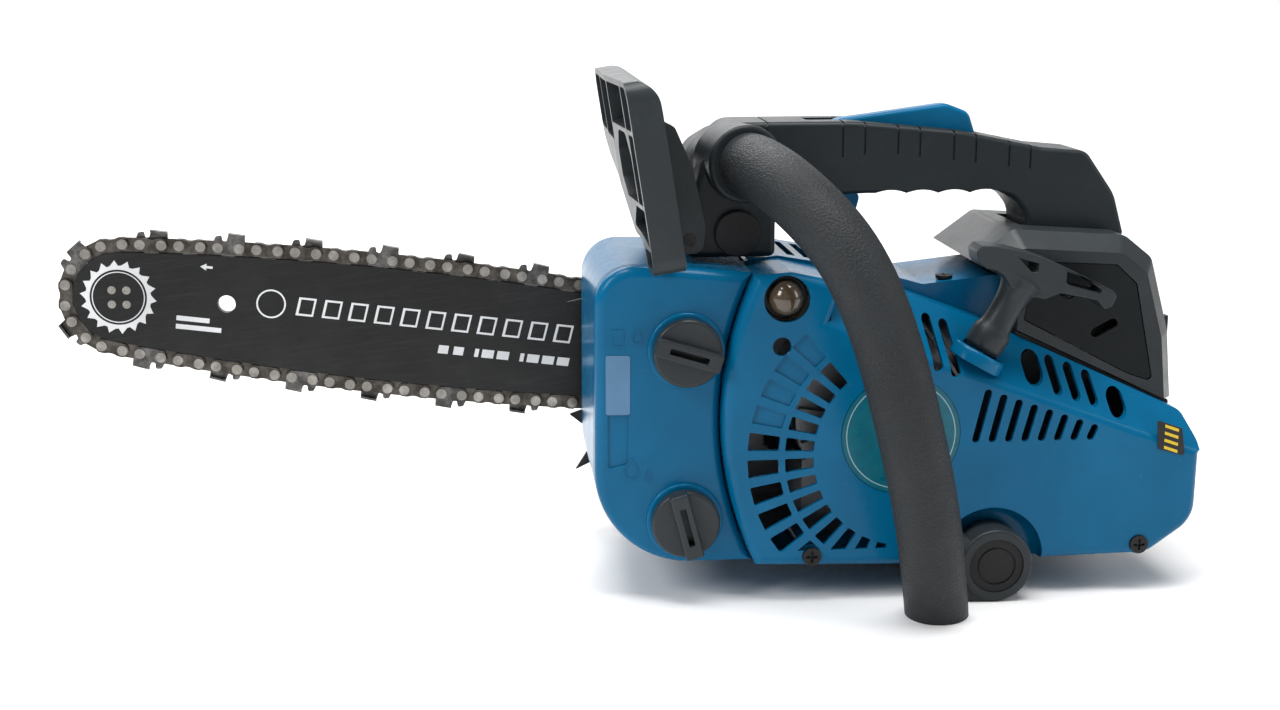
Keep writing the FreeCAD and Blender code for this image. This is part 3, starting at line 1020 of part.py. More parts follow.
def build_guard():
    """Hand guard: open ribbed tray facing forward, angled back at its left end, on two arms."""
    def plan(k0, k1):
        return [(-123.0 + k0, 44.0), (-123.0 + k0, -18.0, 14), (-119.0 + k0, -84.0), (-119.0 + k1, -84.0),
                (-123.0 + k1, -20.0, 14), (-123.0 + k1, 44.0)]
    front = [(-84.0, 153.0, 7), (-84.0, 237.0, 9), (44.0, 237.0, 12), (44.0, 205.0, 12), (24.0, 197.0, 10),
             (-14.0, 190.0, 14), (-44.0, 168.0, 10), (-63.0, 167.0, 4), (-64.6, 153.0, 6)]
    slab = prism(plan(0.0, 14.0), "xy", 140.0, 240.0)
    slab = slab.common(prism([(-140.0, 140.0), (-140.0, 237.0), (-105.6, 237.0, 12), (-104.0, 196.0, 60),
                              (-104.0, 140.0)], "xz", -100.0, 60.0))
    shape = prism(front, "yz", -150.0, -90.0)
    body = slab.common(shape)
    body = soften(body, 2.0, lambda e: e.Length > 12)
    cells = []
    inner_plan = prism(plan(-1.0, 11.4), "xy", 140.0, 240.0)
    pats = [[(-81.6, 216.0, 2), (-81.6, 234.4, 6), (-66.0, 234.4, 1), (-66.0, 216.0, 1)],
            [(-64.0, 216.0, 1), (-64.0, 234.4, 1), (-24.0, 234.4, 1), (-24.0, 216.0, 1)],
            [(-22.0, 208.0, 1), (-22.0, 234.4, 1), (10.0, 234.4, 1), (10.0, 208.0, 1)],
            [(12.0, 209.0, 1), (12.0, 234.4, 1), (41.6, 234.4, 8), (41.6, 209.0, 3)],
            [(-81.6, 184.0, 1), (-81.6, 214.0, 1), (-70.0, 214.0, 1), (-70.0, 184.0, 1)],
            [(-68.0, 184.0, 1), (-68.0, 204.0, 6), (-60.0, 214.0, 5), (-40.0, 214.0, 5), (-31.0, 204.0, 6),
             (-31.0, 192.0, 2), (-40.0, 184.0, 1)],
            [(-81.6, 166.0, 1), (-81.6, 182.0, 1), (-60.0, 182.0, 1), (-47.0, 172.0, 1),
             (-64.0, 170.0, 1)],
            [(-81.6, 156.0, 5), (-81.6, 164.0, 1), (-67.0, 164.0, 1), (-67.0, 156.0, 1)]]
    for pts in pats:
        cells.append(prism(pts, "yz", -150.0, -90.0).common(inner_plan))
    for c in cells:
        body = body.cut(c)
    body.rotate(V(-116, 0, 195), V(0, 1, 0), -9.0)
    gx, gz = GUARD_PIVOT
    arms = []
    for y0, sgn in ((-46.0, -1), (41.0, 1)):
        a = prism([(gx - 7.0, gz - 6.0, 5), (gx + 6.0, gz - 6.5, 5), (gx + 7.0, gz + 6.0, 5),
                   (-92.0, 196.0, 8),
                   (-100.0, 214.0, 4), (-112.0, 220.0, 3), (-119.0, 216.0, 3), (-112.0, 176.0, 6)], "xz",
                   y0, y0 + 5.0)
        arms.append(a)
    guard = fuse([body] + arms)
    guard = guard.cut(cyl(gx, -60, gz, 3.06, 120))
    node("hand_guard", max(guard.Solids, key=lambda s: s.Volume))


def build_small(g0, pull):
    # choke lever and stop switch on the rear cover, fuel hose, heat shield
    lever = fuse([box(132.8, 152.0, 22.0, 27.0, 103.0, 107.5), cyl(126.0, 24.5, 105.2, 2.95, 8, "x")])
    node("choke_lever", lever)
    slider = box(74.0, 80.0, 16.8, 18.6, 186.5, 193.5)
    for k in range(3):
        slider = slider.cut(box(74.8 + 1.8 * k, 75.6 + 1.8 * k, -19.0, -18.1, 186.0, 194.0))
    node("stop_switch", slider)


def main():
    loop = solve_loop()
    print("nose distance", loop.length, "bow radius", loop.R, "nose at", bar_point(loop.length, 0))
    rivets = build_chain(loop)
    build_bar(loop, rivets)
    plug_dir, seat = build_engine()
    build_tank()
    g0, pull = build_starter_housing()
    build_covers(plug_dir, seat)
    build_handles()
    build_guard()
    build_small(g0, pull)
    os.makedirs("parts", exist_ok=True)
    lo, hi = V(1e9, 1e9, 1e9), V(-1e9, -1e9, -1e9)
    for name in sorted(NODES):
        s = NODES[name]
        b = s.BoundBox
        lo = V(min(lo.x, b.XMin), min(lo.y, b.YMin), min(lo.z, b.ZMin))
        hi = V(max(hi.x, b.XMax), max(hi.y, b.YMax), max(hi.z, b.ZMax))
        print(name, "solids", len(s.Solids), "valid", s.isValid(), "vol", round(s.Volume),
              "x", round(b.XMin, 1), round(b.XMax, 1), "y", round(b.YMin, 1), round(b.YMax, 1),
              "z", round(b.ZMin, 1), round(b.ZMax, 1))
        moved = s.copy()
        moved.translate(V(SHIFT_X, SHIFT_Y, 0))
        moved.exportStep("parts/" + name + ".step")
    print("bounds", lo, hi, "shift", -(lo.x + hi.x) / 2.0, -(lo.y + hi.y) / 2.0, "nodes", len(NODES))


if __name__ == "__main__":
    main()
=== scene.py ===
import bpy, bmesh, math
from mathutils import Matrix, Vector


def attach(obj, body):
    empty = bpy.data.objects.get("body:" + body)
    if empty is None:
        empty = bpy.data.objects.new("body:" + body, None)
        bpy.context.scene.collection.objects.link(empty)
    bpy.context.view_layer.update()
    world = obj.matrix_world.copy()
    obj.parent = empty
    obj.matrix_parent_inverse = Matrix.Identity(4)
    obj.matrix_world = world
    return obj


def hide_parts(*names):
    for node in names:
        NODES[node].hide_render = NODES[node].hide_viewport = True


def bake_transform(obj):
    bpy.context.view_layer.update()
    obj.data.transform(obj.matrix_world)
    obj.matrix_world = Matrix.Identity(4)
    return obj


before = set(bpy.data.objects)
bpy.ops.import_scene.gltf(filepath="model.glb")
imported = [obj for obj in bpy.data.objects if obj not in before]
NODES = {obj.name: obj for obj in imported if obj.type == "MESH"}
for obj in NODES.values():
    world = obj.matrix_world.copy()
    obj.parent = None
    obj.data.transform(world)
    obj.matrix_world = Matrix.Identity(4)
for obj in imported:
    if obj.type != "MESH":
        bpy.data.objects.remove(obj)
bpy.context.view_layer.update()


SHIFT_X, SHIFT_Y = 120.15, 23.98      # from the design drawing to the row frame, mm
BAR_TILT = math.radians(7.184)        # the bar climbs this much towards its nose
NOSE_U = 358.983                      # distance of the nose centre from the bar origin, mm
GRIP_AXIS = Vector((0.485, 0, 0.8745))
GRIP_BASE = (39.0, -61.0, 116.0)      # foot of the pull grip, mm
TANK_FACE = -62.0 + 0.02              # left face of the tank, with the marks sunk into it a little
EMBLEM_Z = 0.0776                     # height of the emblem centre, m


def P(x, y, z):
    """A point of the design drawing, in millimetres, as a point of the row frame."""
    return Vector(((x + SHIFT_X) / 1000, (y + SHIFT_Y) / 1000, z / 1000))


# ---------------------------------------------------------------- materials
class Graph:
    def __init__(self, name):
        self.m = bpy.data.materials.new(name)
        self.m.use_nodes = True
        self.t = self.m.node_tree
        self.b = self.t.nodes["Principled BSDF"]
        self.tc = self.t.nodes.new("ShaderNodeTexCoord").outputs["Object"]
        self.height = None

    def put(self, kind, **ins):
        n = self.t.nodes.new(kind)
        for k, v in ins.items():
            s = n.inputs[k.replace("_", " ")]
            if isinstance(v, bpy.types.NodeSocket):
                self.t.links.new(v, s)
            else:
                s.default_value = v
        return n

    def stretch(self, sx, sy, sz):
        n = self.put("ShaderNodeMapping", Vector=self.tc)
        n.inputs["Scale"].default_value = (sx, sy, sz)
        return n.outputs["Vector"]

    def noise(self, scale, detail=3.0, rough=0.55, vec=None, dist=0.0):
        return self.put("ShaderNodeTexNoise", Vector=vec or self.tc, Scale=scale, Detail=detail,
                        Roughness=rough, Distortion=dist).outputs["Fac"]

    def voronoi(self, scale, feature="F1", vec=None):
        n = self.put("ShaderNodeTexVoronoi", Vector=vec or self.tc, Scale=scale)
        n.feature = feature
        return n.outputs["Distance"]

    def ramp(self, fac, stops):
        n = self.put("ShaderNodeValToRGB", Fac=fac)
        e = n.color_ramp.elements
        while len(e) < len(stops):
            e.new(0.5)
        for k, (p, c) in enumerate(stops):
            e[k].position = p
            e[k].color = (c, c, c, 1) if isinstance(c, (int, float)) else (*c, 1)
        return n.outputs["Color"]

    def span(self, fac, a, b, lo=0.0, hi=1.0):
        n = self.put("ShaderNodeMapRange", Value=fac, From_Min=lo, From_Max=hi, To_Min=a, To_Max=b)
        return n.outputs["Result"]

    def math(self, op, a, b=0.0):
        n = self.t.nodes.new("ShaderNodeMath")
        n.operation = op
        for k, v in enumerate((a, b)):
            if isinstance(v, bpy.types.NodeSocket):
                self.t.links.new(v, n.inputs[k])
            else:
                n.inputs[k].default_value = v
        return n.outputs[0]

    def mix(self, fac, a, b, blend="MIX"):
        n = self.t.nodes.new("ShaderNodeMix")
        n.data_type = "RGBA"
        n.blend_type = blend
        for s, v in ((n.inputs[0], fac), (n.inputs[6], a), (n.inputs[7], b)):
            if isinstance(v, bpy.types.NodeSocket):
                self.t.links.new(v, s)
            else:
                s.default_value = v if isinstance(v, (int, float)) else (*v, 1)
        return n.outputs[2]

    def bump(self, height, strength, distance):
        n = self.put("ShaderNodeBump", Height=height, Strength=strength, Distance=distance)
        if self.height is not None:
            self.t.links.new(self.height, n.inputs["Normal"])
        self.height = n.outputs["Normal"]

    def done(self, color=None, rough=None, **fixed):
        for s, v in (("Base Color", color), ("Roughness", rough)):
            if isinstance(v, bpy.types.NodeSocket):
                self.t.links.new(v, self.b.inputs[s])
            elif v is not None:
                self.b.inputs[s].default_value = v if s == "Roughness" else (*v, 1)
        if self.height is not None:
            self.t.links.new(self.height, self.b.inputs["Normal"])
        for k, v in fixed.items():
            self.b.inputs[k.replace("_", " ")].default_value = v
        return self.m


def tone(c, k):
    return tuple(min(1.0, x * k) for x in c)


def plastic(name, base, rough, grain, depth, coat=0.0, scuff=0.25, peel=0.0, spec=0.3):
    """Moulded plastic: fine spark-eroded grain, slow colour drift, rubbed patches and hairline scuffs."""
    g = Graph(name)
    drift = g.noise(22, 4)
    color = g.mix(g.span(drift, 0.0, 1.0, 0.3, 0.7), tone(base, 0.86), tone(base, 1.12))
    rubbed = g.ramp(g.noise(60, 6, 0.65), [(0.56, 0.0), (0.74, 1.0)])
    color = g.mix(g.math("MULTIPLY", rubbed, scuff), color, tone(base, 1.9))
    streak = g.ramp(g.noise(9, 8, 0.75, g.stretch(34, 34, 4), 1.5), [(0.655, 0.0), (0.675, 1.0)])
    r = g.span(g.noise(140, 4), rough * 0.86, rough * 1.16, 0.25, 0.75)
    r = g.math("ADD", r, g.math("MULTIPLY", streak, 0.10 * scuff))
    if peel:
        g.bump(g.noise(210, 2), peel, 0.0004)
    g.bump(g.noise(grain, 3, 0.6), depth, 0.00012)
    return g.done(color, r, Coat_Weight=coat, Coat_Roughness=0.10, Specular_IOR_Level=spec)


def rubber(name, base, cell, depth):
    """Leather-grained soft sleeve: pebbled cells, worn shiny where it is held."""
    g = Graph(name)
    cells = g.voronoi(cell, "SMOOTH_F1")
    fine = g.noise(cell * 2.2, 3)
    drift = g.noise(30, 4)
    color = g.mix(g.span(drift, 0, 1, 0.3, 0.7), tone(base, 0.82), tone(base, 1.16))
    color = g.mix(g.span(cells, 0.0, 0.5, 0.15, 0.75), color, tone(base, 1.5))
    r = g.span(g.noise(45, 4), 0.44, 0.62, 0.3, 0.7)
    g.bump(cells, depth, 0.0004)
    g.bump(fine, depth * 0.5, 0.0002)
    return g.done(color, r, Specular_IOR_Level=0.22)


def metal(name, base, rough, run=(1, 1, 1), scale=600, depth=0.12, dirt=0.35, dark=0.25, metallic=1.0):
    """Machined or rolled steel: directional lay, oily stains, small pits."""
    g = Graph(name)
    lay = g.noise(scale, 4, 0.7, g.stretch(*run))
    stain = g.ramp(g.noise(110, 6, 0.7), [(0.42, 1.0), (0.66, 0.0)])
    color = g.mix(g.span(lay, 0, 1, 0.3, 0.7), tone(base, 0.8), tone(base, 1.15))
    color = g.mix(g.math("MULTIPLY", stain, dirt), color, tone(base, dark))
    pits = g.ramp(g.voronoi(900), [(0.08, 0.0), (0.2, 1.0)])
    r = g.span(lay, rough * 0.75, rough * 1.3, 0.3, 0.7)
    r = g.math("ADD", r, g.math("MULTIPLY", stain, 0.16))
    g.bump(lay, depth, 0.00008)
    g.bump(pits, depth * 0.6, 0.00008)
    return g.done(color, r, Metallic=metallic)


def cast(name, base, rough=0.5):
    """Die-cast alloy: orange-peel skin with sparkle grains and flow marks."""
    g = Graph(name)
    skin = g.noise(1100, 4, 0.65)
    flow = g.noise(30, 5, 0.6, g.stretch(1, 3, 1), 1.2)
    color = g.mix(g.span(flow, 0, 1, 0.35, 0.65), tone(base, 0.93), tone(base, 1.05))
    r = g.span(skin, rough * 0.8, rough * 1.2, 0.3, 0.7)
    g.bump(skin, 0.45, 0.0002)
    g.bump(flow, 0.15, 0.0008)
    return g.done(color, r, Metallic=1.0)


BLUE = (0.0002, 0.104, 0.225)
M = {}
M["blue"] = plastic("blue_gloss_plastic", BLUE, 0.24, 2600, 0.08,
                    coat=0.06, scuff=0.08, peel=0.04, spec=0.13)
M["blue_satin"] = plastic("blue_satin_plastic", BLUE, 0.34, 2200, 0.22, coat=0.03, scuff=0.12, peel=0.05, spec=0.12)
M["dark"] = plastic("dark_moulded_plastic", (0.0150, 0.0200, 0.0225), 0.36, 1700, 0.5, scuff=0.22, spec=0.2)
M["grey"] = plastic("grey_moulded_plastic", (0.0235, 0.0285, 0.0315), 0.32, 1700, 0.5, scuff=0.22, spec=0.22)
M["panel"] = plastic("flat_panel_plastic", (0.0060, 0.0085, 0.0095), 0.46, 1900, 0.5, scuff=0.2, spec=0.16)
M["sleeve"] = rubber("grained_sleeve", (0.0175, 0.0200, 0.0220), 1150, 1.0)
M["rubber"] = rubber("black_rubber", (0.012, 0.012, 0.013), 1500, 0.3)
M["chain"] = metal("chain_steel", (0.19, 0.185, 0.178), 0.36, (1, 1, 1), 700, 0.2, 0.75, 0.16)
M["link"] = metal("tie_strap_steel", (0.135, 0.122, 0.108), 0.32, (1, 1, 1), 800, 0.2, 0.75, 0.2)
M["rivet"] = metal("rivet_steel", (0.34, 0.325, 0.30), 0.24, (1, 1, 1), 900, 0.12, 0.5, 0.3)
M["bright"] = metal("turned_steel", (0.56, 0.56, 0.55), 0.27, (1, 6, 1), 400, 0.12, 0.25, 0.4)
M["dark_steel"] = metal("blackened_steel", (0.035, 0.034, 0.034), 0.40, (1, 1, 1), 600, 0.2, 0.3, 0.4, 0.85)
M["heat"] = metal("heat_tinted_steel", (0.36, 0.29, 0.21), 0.38, (1, 4, 1), 300, 0.15, 0.6, 0.3)
M["alloy"] = cast("cast_alloy", (0.30, 0.31, 0.32), 0.44)


def bar_paint():
    """Satin black enamel on the bar: drag marks along its length, chain rub near both rails."""
    g = Graph("bar_black_enamel")
    turn = g.put("ShaderNodeMapping", Vector=g.tc)
    turn.vector_type = "POINT"
    turn.inputs["Rotation"].default_value = (0, BAR_TILT, 0)
    v = turn.outputs["Vector"]
    along = g.put("ShaderNodeMapping", Vector=v, Scale=(1.2, 20, 26)).outputs["Vector"]
    drag = g.noise(40, 9, 0.75, along, 0.8)
    color = g.mix(g.ramp(drag, [(0.5, 0.0), (0.78, 1.0)]), (0.0045, 0.0047, 0.005), (0.020, 0.020, 0.021))
    cloud = g.ramp(g.noise(16, 6, 0.65), [(0.5, 0.0), (0.7, 1.0)])
    color = g.mix(g.math("MULTIPLY", cloud, 0.3), color, (0.03, 0.03, 0.031))
    r = g.span(g.noise(75, 6, 0.7), 0.26, 0.46, 0.3, 0.7)
    g.bump(g.noise(1400, 3), 0.18, 0.0001)
    g.bump(drag, 0.10, 0.0001)
    return g.done(color, r, Specular_IOR_Level=0.28)


def smoky():
    g = Graph("smoky_bulb")
    haze = g.noise(90, 4)
    color = g.mix(g.span(haze, 0, 1, 0.3, 0.7), (0.16, 0.115, 0.07), (0.30, 0.22, 0.14))
    g.bump(g.noise(300, 2), 0.08, 0.0003)
    r = g.span(haze, 0.05, 0.14, 0.3, 0.7)
    return g.done(color, r, Transmission_Weight=0.75, IOR=1.45, Coat_Weight=0.5, Coat_Roughness=0.05)


def felt():
    g = Graph("filter_felt")
    fib = g.noise(900, 6, 0.8, g.stretch(1, 1, 4))
    g.bump(fib, 0.6, 0.0006)
    return g.done(g.ramp(fib, [(0.3, (0.42, 0.38, 0.28)), (0.7, (0.72, 0.68, 0.56))]), 0.95)


def cord_white():
    g = Graph("braided_cord")
    fib = g.noise(2600, 4, 0.7)
    g.bump(fib, 0.6, 0.0002)
    return g.done(g.ramp(fib, [(0.3, (0.34, 0.33, 0.30)), (0.7, (0.66, 0.65, 0.6))]), 0.85)


def labels():
    """Two stickers without letters: teal disc with a pale ring and bars, black patch with yellow bars."""
    g = Graph("printed_labels")
    xyz = g.put("ShaderNodeSeparateXYZ", Vector=g.tc)
    x = g.math("SUBTRACT", xyz.outputs["X"], P(0, 0, 0).x)
    z = g.math("SUBTRACT", xyz.outputs["Z"], EMBLEM_Z)
    r = g.math("SQRT", g.math("ADD", g.math("MULTIPLY", x, x), g.math("MULTIPLY", z, z)))

    def inside(v, a, b):
        return g.math("MULTIPLY", g.math("GREATER_THAN", v, a), g.math("LESS_THAN", v, b))
    ring_ = inside(r, 0.0246, 0.0250)
    bar1 = g.math("MULTIPLY", inside(x, 0.006, 0.019), inside(z, 0.0040, 0.0052))
    bar2 = g.math("MULTIPLY", inside(x, 0.006, 0.020), inside(z, -0.0040, -0.0034))
    ink = g.math("MINIMUM", g.math("ADD", ring_, g.math("ADD", bar1, bar2)), 1.0)
    teal = g.mix(g.span(g.noise(200, 3), 0, 1, 0.3, 0.7), (0.001, 0.085, 0.125), (0.002, 0.110, 0.155))
    disc = g.mix(ink, teal, (0.30, 0.42, 0.46))
    wave = g.math("FRACT", g.math("MULTIPLY", g.math("ADD", z, g.math("MULTIPLY", x, 0.35)), 300.0))
    stripe = g.math("MULTIPLY", g.math("LESS_THAN", wave, 0.42), inside(x, 0.1225, 0.1290))
    patch = g.mix(stripe, (0.010, 0.010, 0.011), (0.62, 0.44, 0.02))
    color = g.mix(g.math("GREATER_THAN", x, 0.06), disc, patch)
    g.bump(g.noise(2400, 2), 0.1, 0.0001)
    return g.done(color, g.span(g.noise(160, 4), 0.26, 0.38, 0.3, 0.7), Specular_IOR_Level=0.3)


M["bar"] = bar_paint()
M["labels"] = labels()
M["window"] = plastic("pale_window_plastic", (0.095, 0.20, 0.33), 0.3, 2200, 0.15, scuff=0.1, spec=0.15)
M["smoky"] = smoky()
M["felt"] = felt()
M["cord"] = cord_white()
M["print"] = plastic("print_pale", (0.62, 0.63, 0.64), 0.5, 1500, 0.2, scuff=0.0)

LOOK = {
    "air_filter": "felt", "av_buffers": "rubber", "bar_core": "dark_steel", "bar_side_plates": "bar",
    "bar_studs_nuts": "bright", "bar_tensioner": "bright", "brake_band": "bright", "carb_panel": "panel",
    "carburettor": "alloy", "chain_catcher": "dark", "chain_cutters": "chain", "chain_drive_links": "link",
    "chain_rivets": "rivet", "chain_tie_straps": "link", "choke_lever": "dark", "clutch": "dark_steel",
    "clutch_cover": "dark", "clutch_drum": "bright", "conrod": "bright", "crank_bearings": "bright",
    "crankcase": "alloy", "crankshaft": "bright", "cylinder": "alloy", "cylinder_cover": "blue",
    "filter_knob": "dark", "flywheel": "alloy", "front_handle_sleeve": "sleeve", "front_handle_tube": "alloy",
    "fuel_cap": "grey", "fuel_cap_seal": "rubber", "hand_guard": "grey", "housing_screws": "dark_steel",
    "ignition_coil": "panel", "intake_boot": "rubber", "labels": "labels", "lower_bracket": "grey",
    "muffler": "heat", "nose_rivets": "rivet", "nose_sprocket": "chain", "oil_cap": "grey",
    "oil_cap_seal": "rubber", "oil_pump": "panel", "piston": "alloy", "pivot_pins": "dark_steel",
    "primer_base": "dark", "primer_bulb": "smoky", "rear_cover": "grey", "rewind_spring": "dark_steel",
    "spark_plug": "rubber", "spike_plate": "dark_steel", "starter_grip": "grey", "starter_housing": "blue",
    "starter_pulley": "panel", "starter_rope": "cord", "stop_switch": "panel", "tank_housing": "blue",
    "throttle_shaft": "bright", "throttle_trigger": "blue_satin", "top_handle": "dark",
    "trigger_lockout": "blue_satin",
}
for n, o in NODES.items():
    o.data.materials.clear()
    o.data.materials.append(M[LOOK[n]])

# mould radii on the larger moulded pieces, as non-destructive modifiers
RADII = {"top_handle": 1.0, "tank_housing": 0.9, "starter_housing": 0.6, "rear_cover": 1.0, "clutch_cover": 1.2,
         "hand_guard": 1.0, "cylinder_cover": 0.9, "starter_grip": 0.9, "fuel_cap": 0.5, "oil_cap": 0.5,
         "lower_bracket": 0.7, "carb_panel": 0.4, "trigger_lockout": 1.2, "throttle_trigger": 1.0,
         "filter_knob": 0.6, "crankcase": 0.7, "chain_cutters": 0.15, "chain_tie_straps": 0.2,
         "primer_base": 0.4, "choke_lever": 0.5, "chain_catcher": 0.8, "spike_plate": 0.25, "muffler": 0.5}
for n, r in RADII.items():
    o = NODES[n]
    w = o.modifiers.new("weld", "WELD")
    w.merge_threshold = 1e-6
    b = o.modifiers.new("radius", "BEVEL")
    b.width = r / 1000
    b.segments = 2
    b.limit_method = "ANGLE"
    b.angle_limit = math.radians(32)
    b.use_clamp_overlap = True
    b.harden_normals = False
    s = o.modifiers.new("normals", "WEIGHTED_NORMAL")
    s.keep_sharp = False
    s.weight = 80


# ---------------------------------------------------------------- stage
def new_mesh(name, verts, faces, mat, smooth=True):
    me = bpy.data.meshes.new(name)
    me.from_pydata([tuple(v) for v in verts], [], faces)
    me.update()
    for p in me.polygons:
        p.use_smooth = smooth
    me.materials.append(mat)
    o = bpy.data.objects.new(name, me)
    bpy.context.scene.collection.objects.link(o)
    return o


def studio():
    """White floor that curves into a backdrop, soft lights and the camera."""
    g = Graph("floor_pale")
    c = g.mix(g.span(g.noise(3, 3), 0, 1, 0.3, 0.7), (0.86, 0.86, 0.865), (0.90, 0.90, 0.90))
    m = g.done(c, 0.7)
    prof = [(-4.0, 0.0), (1.6, 0.0)]
    turns = [math.pi / 2 * k / 12 for k in range(1, 13)]
    prof += [(1.6 + 1.2 * math.sin(t), 1.2 - 1.2 * math.cos(t)) for t in turns]
    prof += [(2.8, 4.0)]
    verts, faces = [], []
    for y, z in prof:
        verts += [(-6, y, z), (6, y, z)]
    for k in range(len(prof) - 1):
        faces.append((2 * k, 2 * k + 1, 2 * k + 3, 2 * k + 2))
    o = new_mesh("floor", verts, faces, m)
    sc = bpy.context.scene
    w = bpy.data.worlds.new("studio")
    w.use_nodes = True
    w.node_tree.nodes["Background"].inputs[0].default_value = (1, 1, 1, 1)
    w.node_tree.nodes["Background"].inputs[1].default_value = 0.27
    sc.world = w
    target = P(-60, 0, 110)
    lights = (("key", (-1.3, -0.8, 1.2), (0.6, 0.9), 19), ("fill", (1.6, -0.6, 0.8), (0.5, 1.0), 6),
              ("top", (0.0, -0.15, 1.8), (1.5, 0.9), 42), ("rim", (-0.4, 1.5, 1.3), (1.6, 0.6), 16),
              ("back", (0.0, 1.2, 1.6), (3.0, 0.8), 30))
    for name, loc, size, power in lights:
        ld = bpy.data.lights.new(name, "AREA")
        ld.shape = "RECTANGLE"
        ld.size, ld.size_y = size
        ld.energy = power
        lo = bpy.data.objects.new(name, ld)
        sc.collection.objects.link(lo)
        lo.location = loc
        aim = Vector((0, 3.0, 0.9)) if name == "back" else target
        lo.rotation_euler = (aim - Vector(loc)).to_track_quat("-Z", "Y").to_euler()
    cam = bpy.data.cameras.new("camera")
    cam.lens, cam.sensor_width = 50.0, 36.0
    co = bpy.data.objects.new("camera", cam)
    sc.collection.objects.link(co)
    th, ps = math.radians(12.5), math.radians(5.5)
    fwd = Vector((math.cos(th) * math.sin(ps), math.cos(th) * math.cos(ps), -math.sin(th)))
    co.location = P(-190.66, -827.0, 285.46)
    co.rotation_euler = fwd.to_track_quat("-Z", "Y").to_euler()
    sc.camera = co
    sc.view_settings.view_transform = "Standard"
    sc.view_settings.look = "None"
    sc.view_settings.exposure = 0.0


studio()

# ---------------------------------------------------------------- pieces
def finish_piece(o, body, slot, *hidden):
    """Ties an added piece to its body and hides the nodes it stands in for; the slot is not used."""
    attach(o, body)
    if hidden:
        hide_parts(*hidden)
    return o


def smooth_by_angle(o, angle):
    """Smooth shading with sharp edges kept above an angle in degrees."""
    for p in o.data.polygons:
        p.use_smooth = True
    o.data.set_sharp_from_angle(angle=math.radians(angle))


def tube(path, radius, seg=12):
    """Vertices and faces of a round tube along points, with frames carried along without twist."""
    verts, faces = [], []
    n = len(path)
    ref = Vector((0, 0, 1))
    for i, p in enumerate(path):
        d = (path[min(i + 1, n - 1)] - path[max(i - 1, 0)]).normalized()
        if abs(d.dot(ref)) > 0.95:
            ref = Vector((0, 1, 0))
        a = (ref - d * ref.dot(d)).normalized()
        ref = a
        b = d.cross(a)
        r = radius(i / (n - 1)) if callable(radius) else radius
        turns = [2 * math.pi * k / seg for k in range(seg)]
        verts += [p + (a * math.cos(t) + b * math.sin(t)) * r for t in turns]
    for i in range(n - 1):
        for k in range(seg):
            q = (k + 1) % seg
            faces.append((i * seg + k, i * seg + q, (i + 1) * seg + q, (i + 1) * seg + k))
    faces.append(tuple(reversed(range(seg))))
    faces.append(tuple((n - 1) * seg + k for k in range(seg)))
    return verts, faces


def rope():
    """Three laid strands from the pulley through the eye to the knot under the T-grip."""
    pull = GRIP_AXIS.normalized()
    g0 = P(*GRIP_BASE)
    start, end = g0 - pull * 0.053, g0 - pull * 0.0028
    side = Vector((0, 1, 0))
    up = pull.cross(side)
    verts, faces = [], []
    for s in range(3):
        path = []
        for i in range(121):
            t = i / 120
            a = 2 * math.pi * (s / 3 + t * 9)
            path.append(start + (end - start) * t + (side * math.cos(a) + up * math.sin(a)) * 0.00075)
        v, f = tube(path, 0.0008, 8)
        faces += [tuple(i + len(verts) for i in q) for q in f]
        verts += v
    o = new_mesh("starter_rope_strands", verts, faces, M["cord"])
    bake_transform(o)
    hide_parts("starter_rope")


def bar_at(u, v, y):
    """Bar coordinates to the row frame: u runs to the nose and v upwards, both in millimetres."""
    x = -6 - u * math.cos(BAR_TILT) + v * math.sin(BAR_TILT)
    return P(x, y, 80 + u * math.sin(BAR_TILT) + v * math.cos(BAR_TILT))


def flat_print(name, loops, y, body="saw", mat=None, thick=0.06, place=bar_at, slot="bar_black"):
    """Ink film: each loop is (outer points, inner points or None), laid on a face as a thin raised film."""
    verts, faces = [], []
    for outer, inner in loops:
        base = len(verts)
        n = len(outer)
        rings = [outer] + ([inner] if inner else [])
        for off in (0.0, -thick if y < 50 else thick):
            for points in rings:
                verts += [place(u, v, y + off) for u, v in points]
        k = len(rings) * n
        if inner:
            for i in range(n):
                j = (i + 1) % n
                faces.append((base + k + i, base + k + j, base + k + n + j, base + k + n + i))
                faces.append((base + i, base + j, base + k + j, base + k + i))
                faces.append((base + n + i, base + n + j, base + k + n + j, base + k + n + i))
        else:
            faces.append(tuple(base + k + i for i in range(n)))
            for i in range(n):
                j = (i + 1) % n
                faces.append((base + i, base + j, base + k + j, base + k + i))
    o = new_mesh(name, verts, faces, mat or M["print"], smooth=False)
    bm = bmesh.new()
    bm.from_mesh(o.data)
    bmesh.ops.recalc_face_normals(bm, faces=bm.faces)
    bm.to_mesh(o.data)
    bm.free()
    return finish_piece(o, body, slot)


def ring(cu, cv, r, n=96):
    """Points of a circle in bar coordinates."""
    return [(cu + r * math.cos(2 * math.pi * k / n), cv + r * math.sin(2 * math.pi * k / n)) for k in range(n)]


def block(u0, v0, u1, v1, k=0.0):
    """Corners of a rectangle, with its first side moved along by k to slant it."""
    return [(u0 + k, v0), (u1 + k, v0), (u1, v1), (u0, v1)]


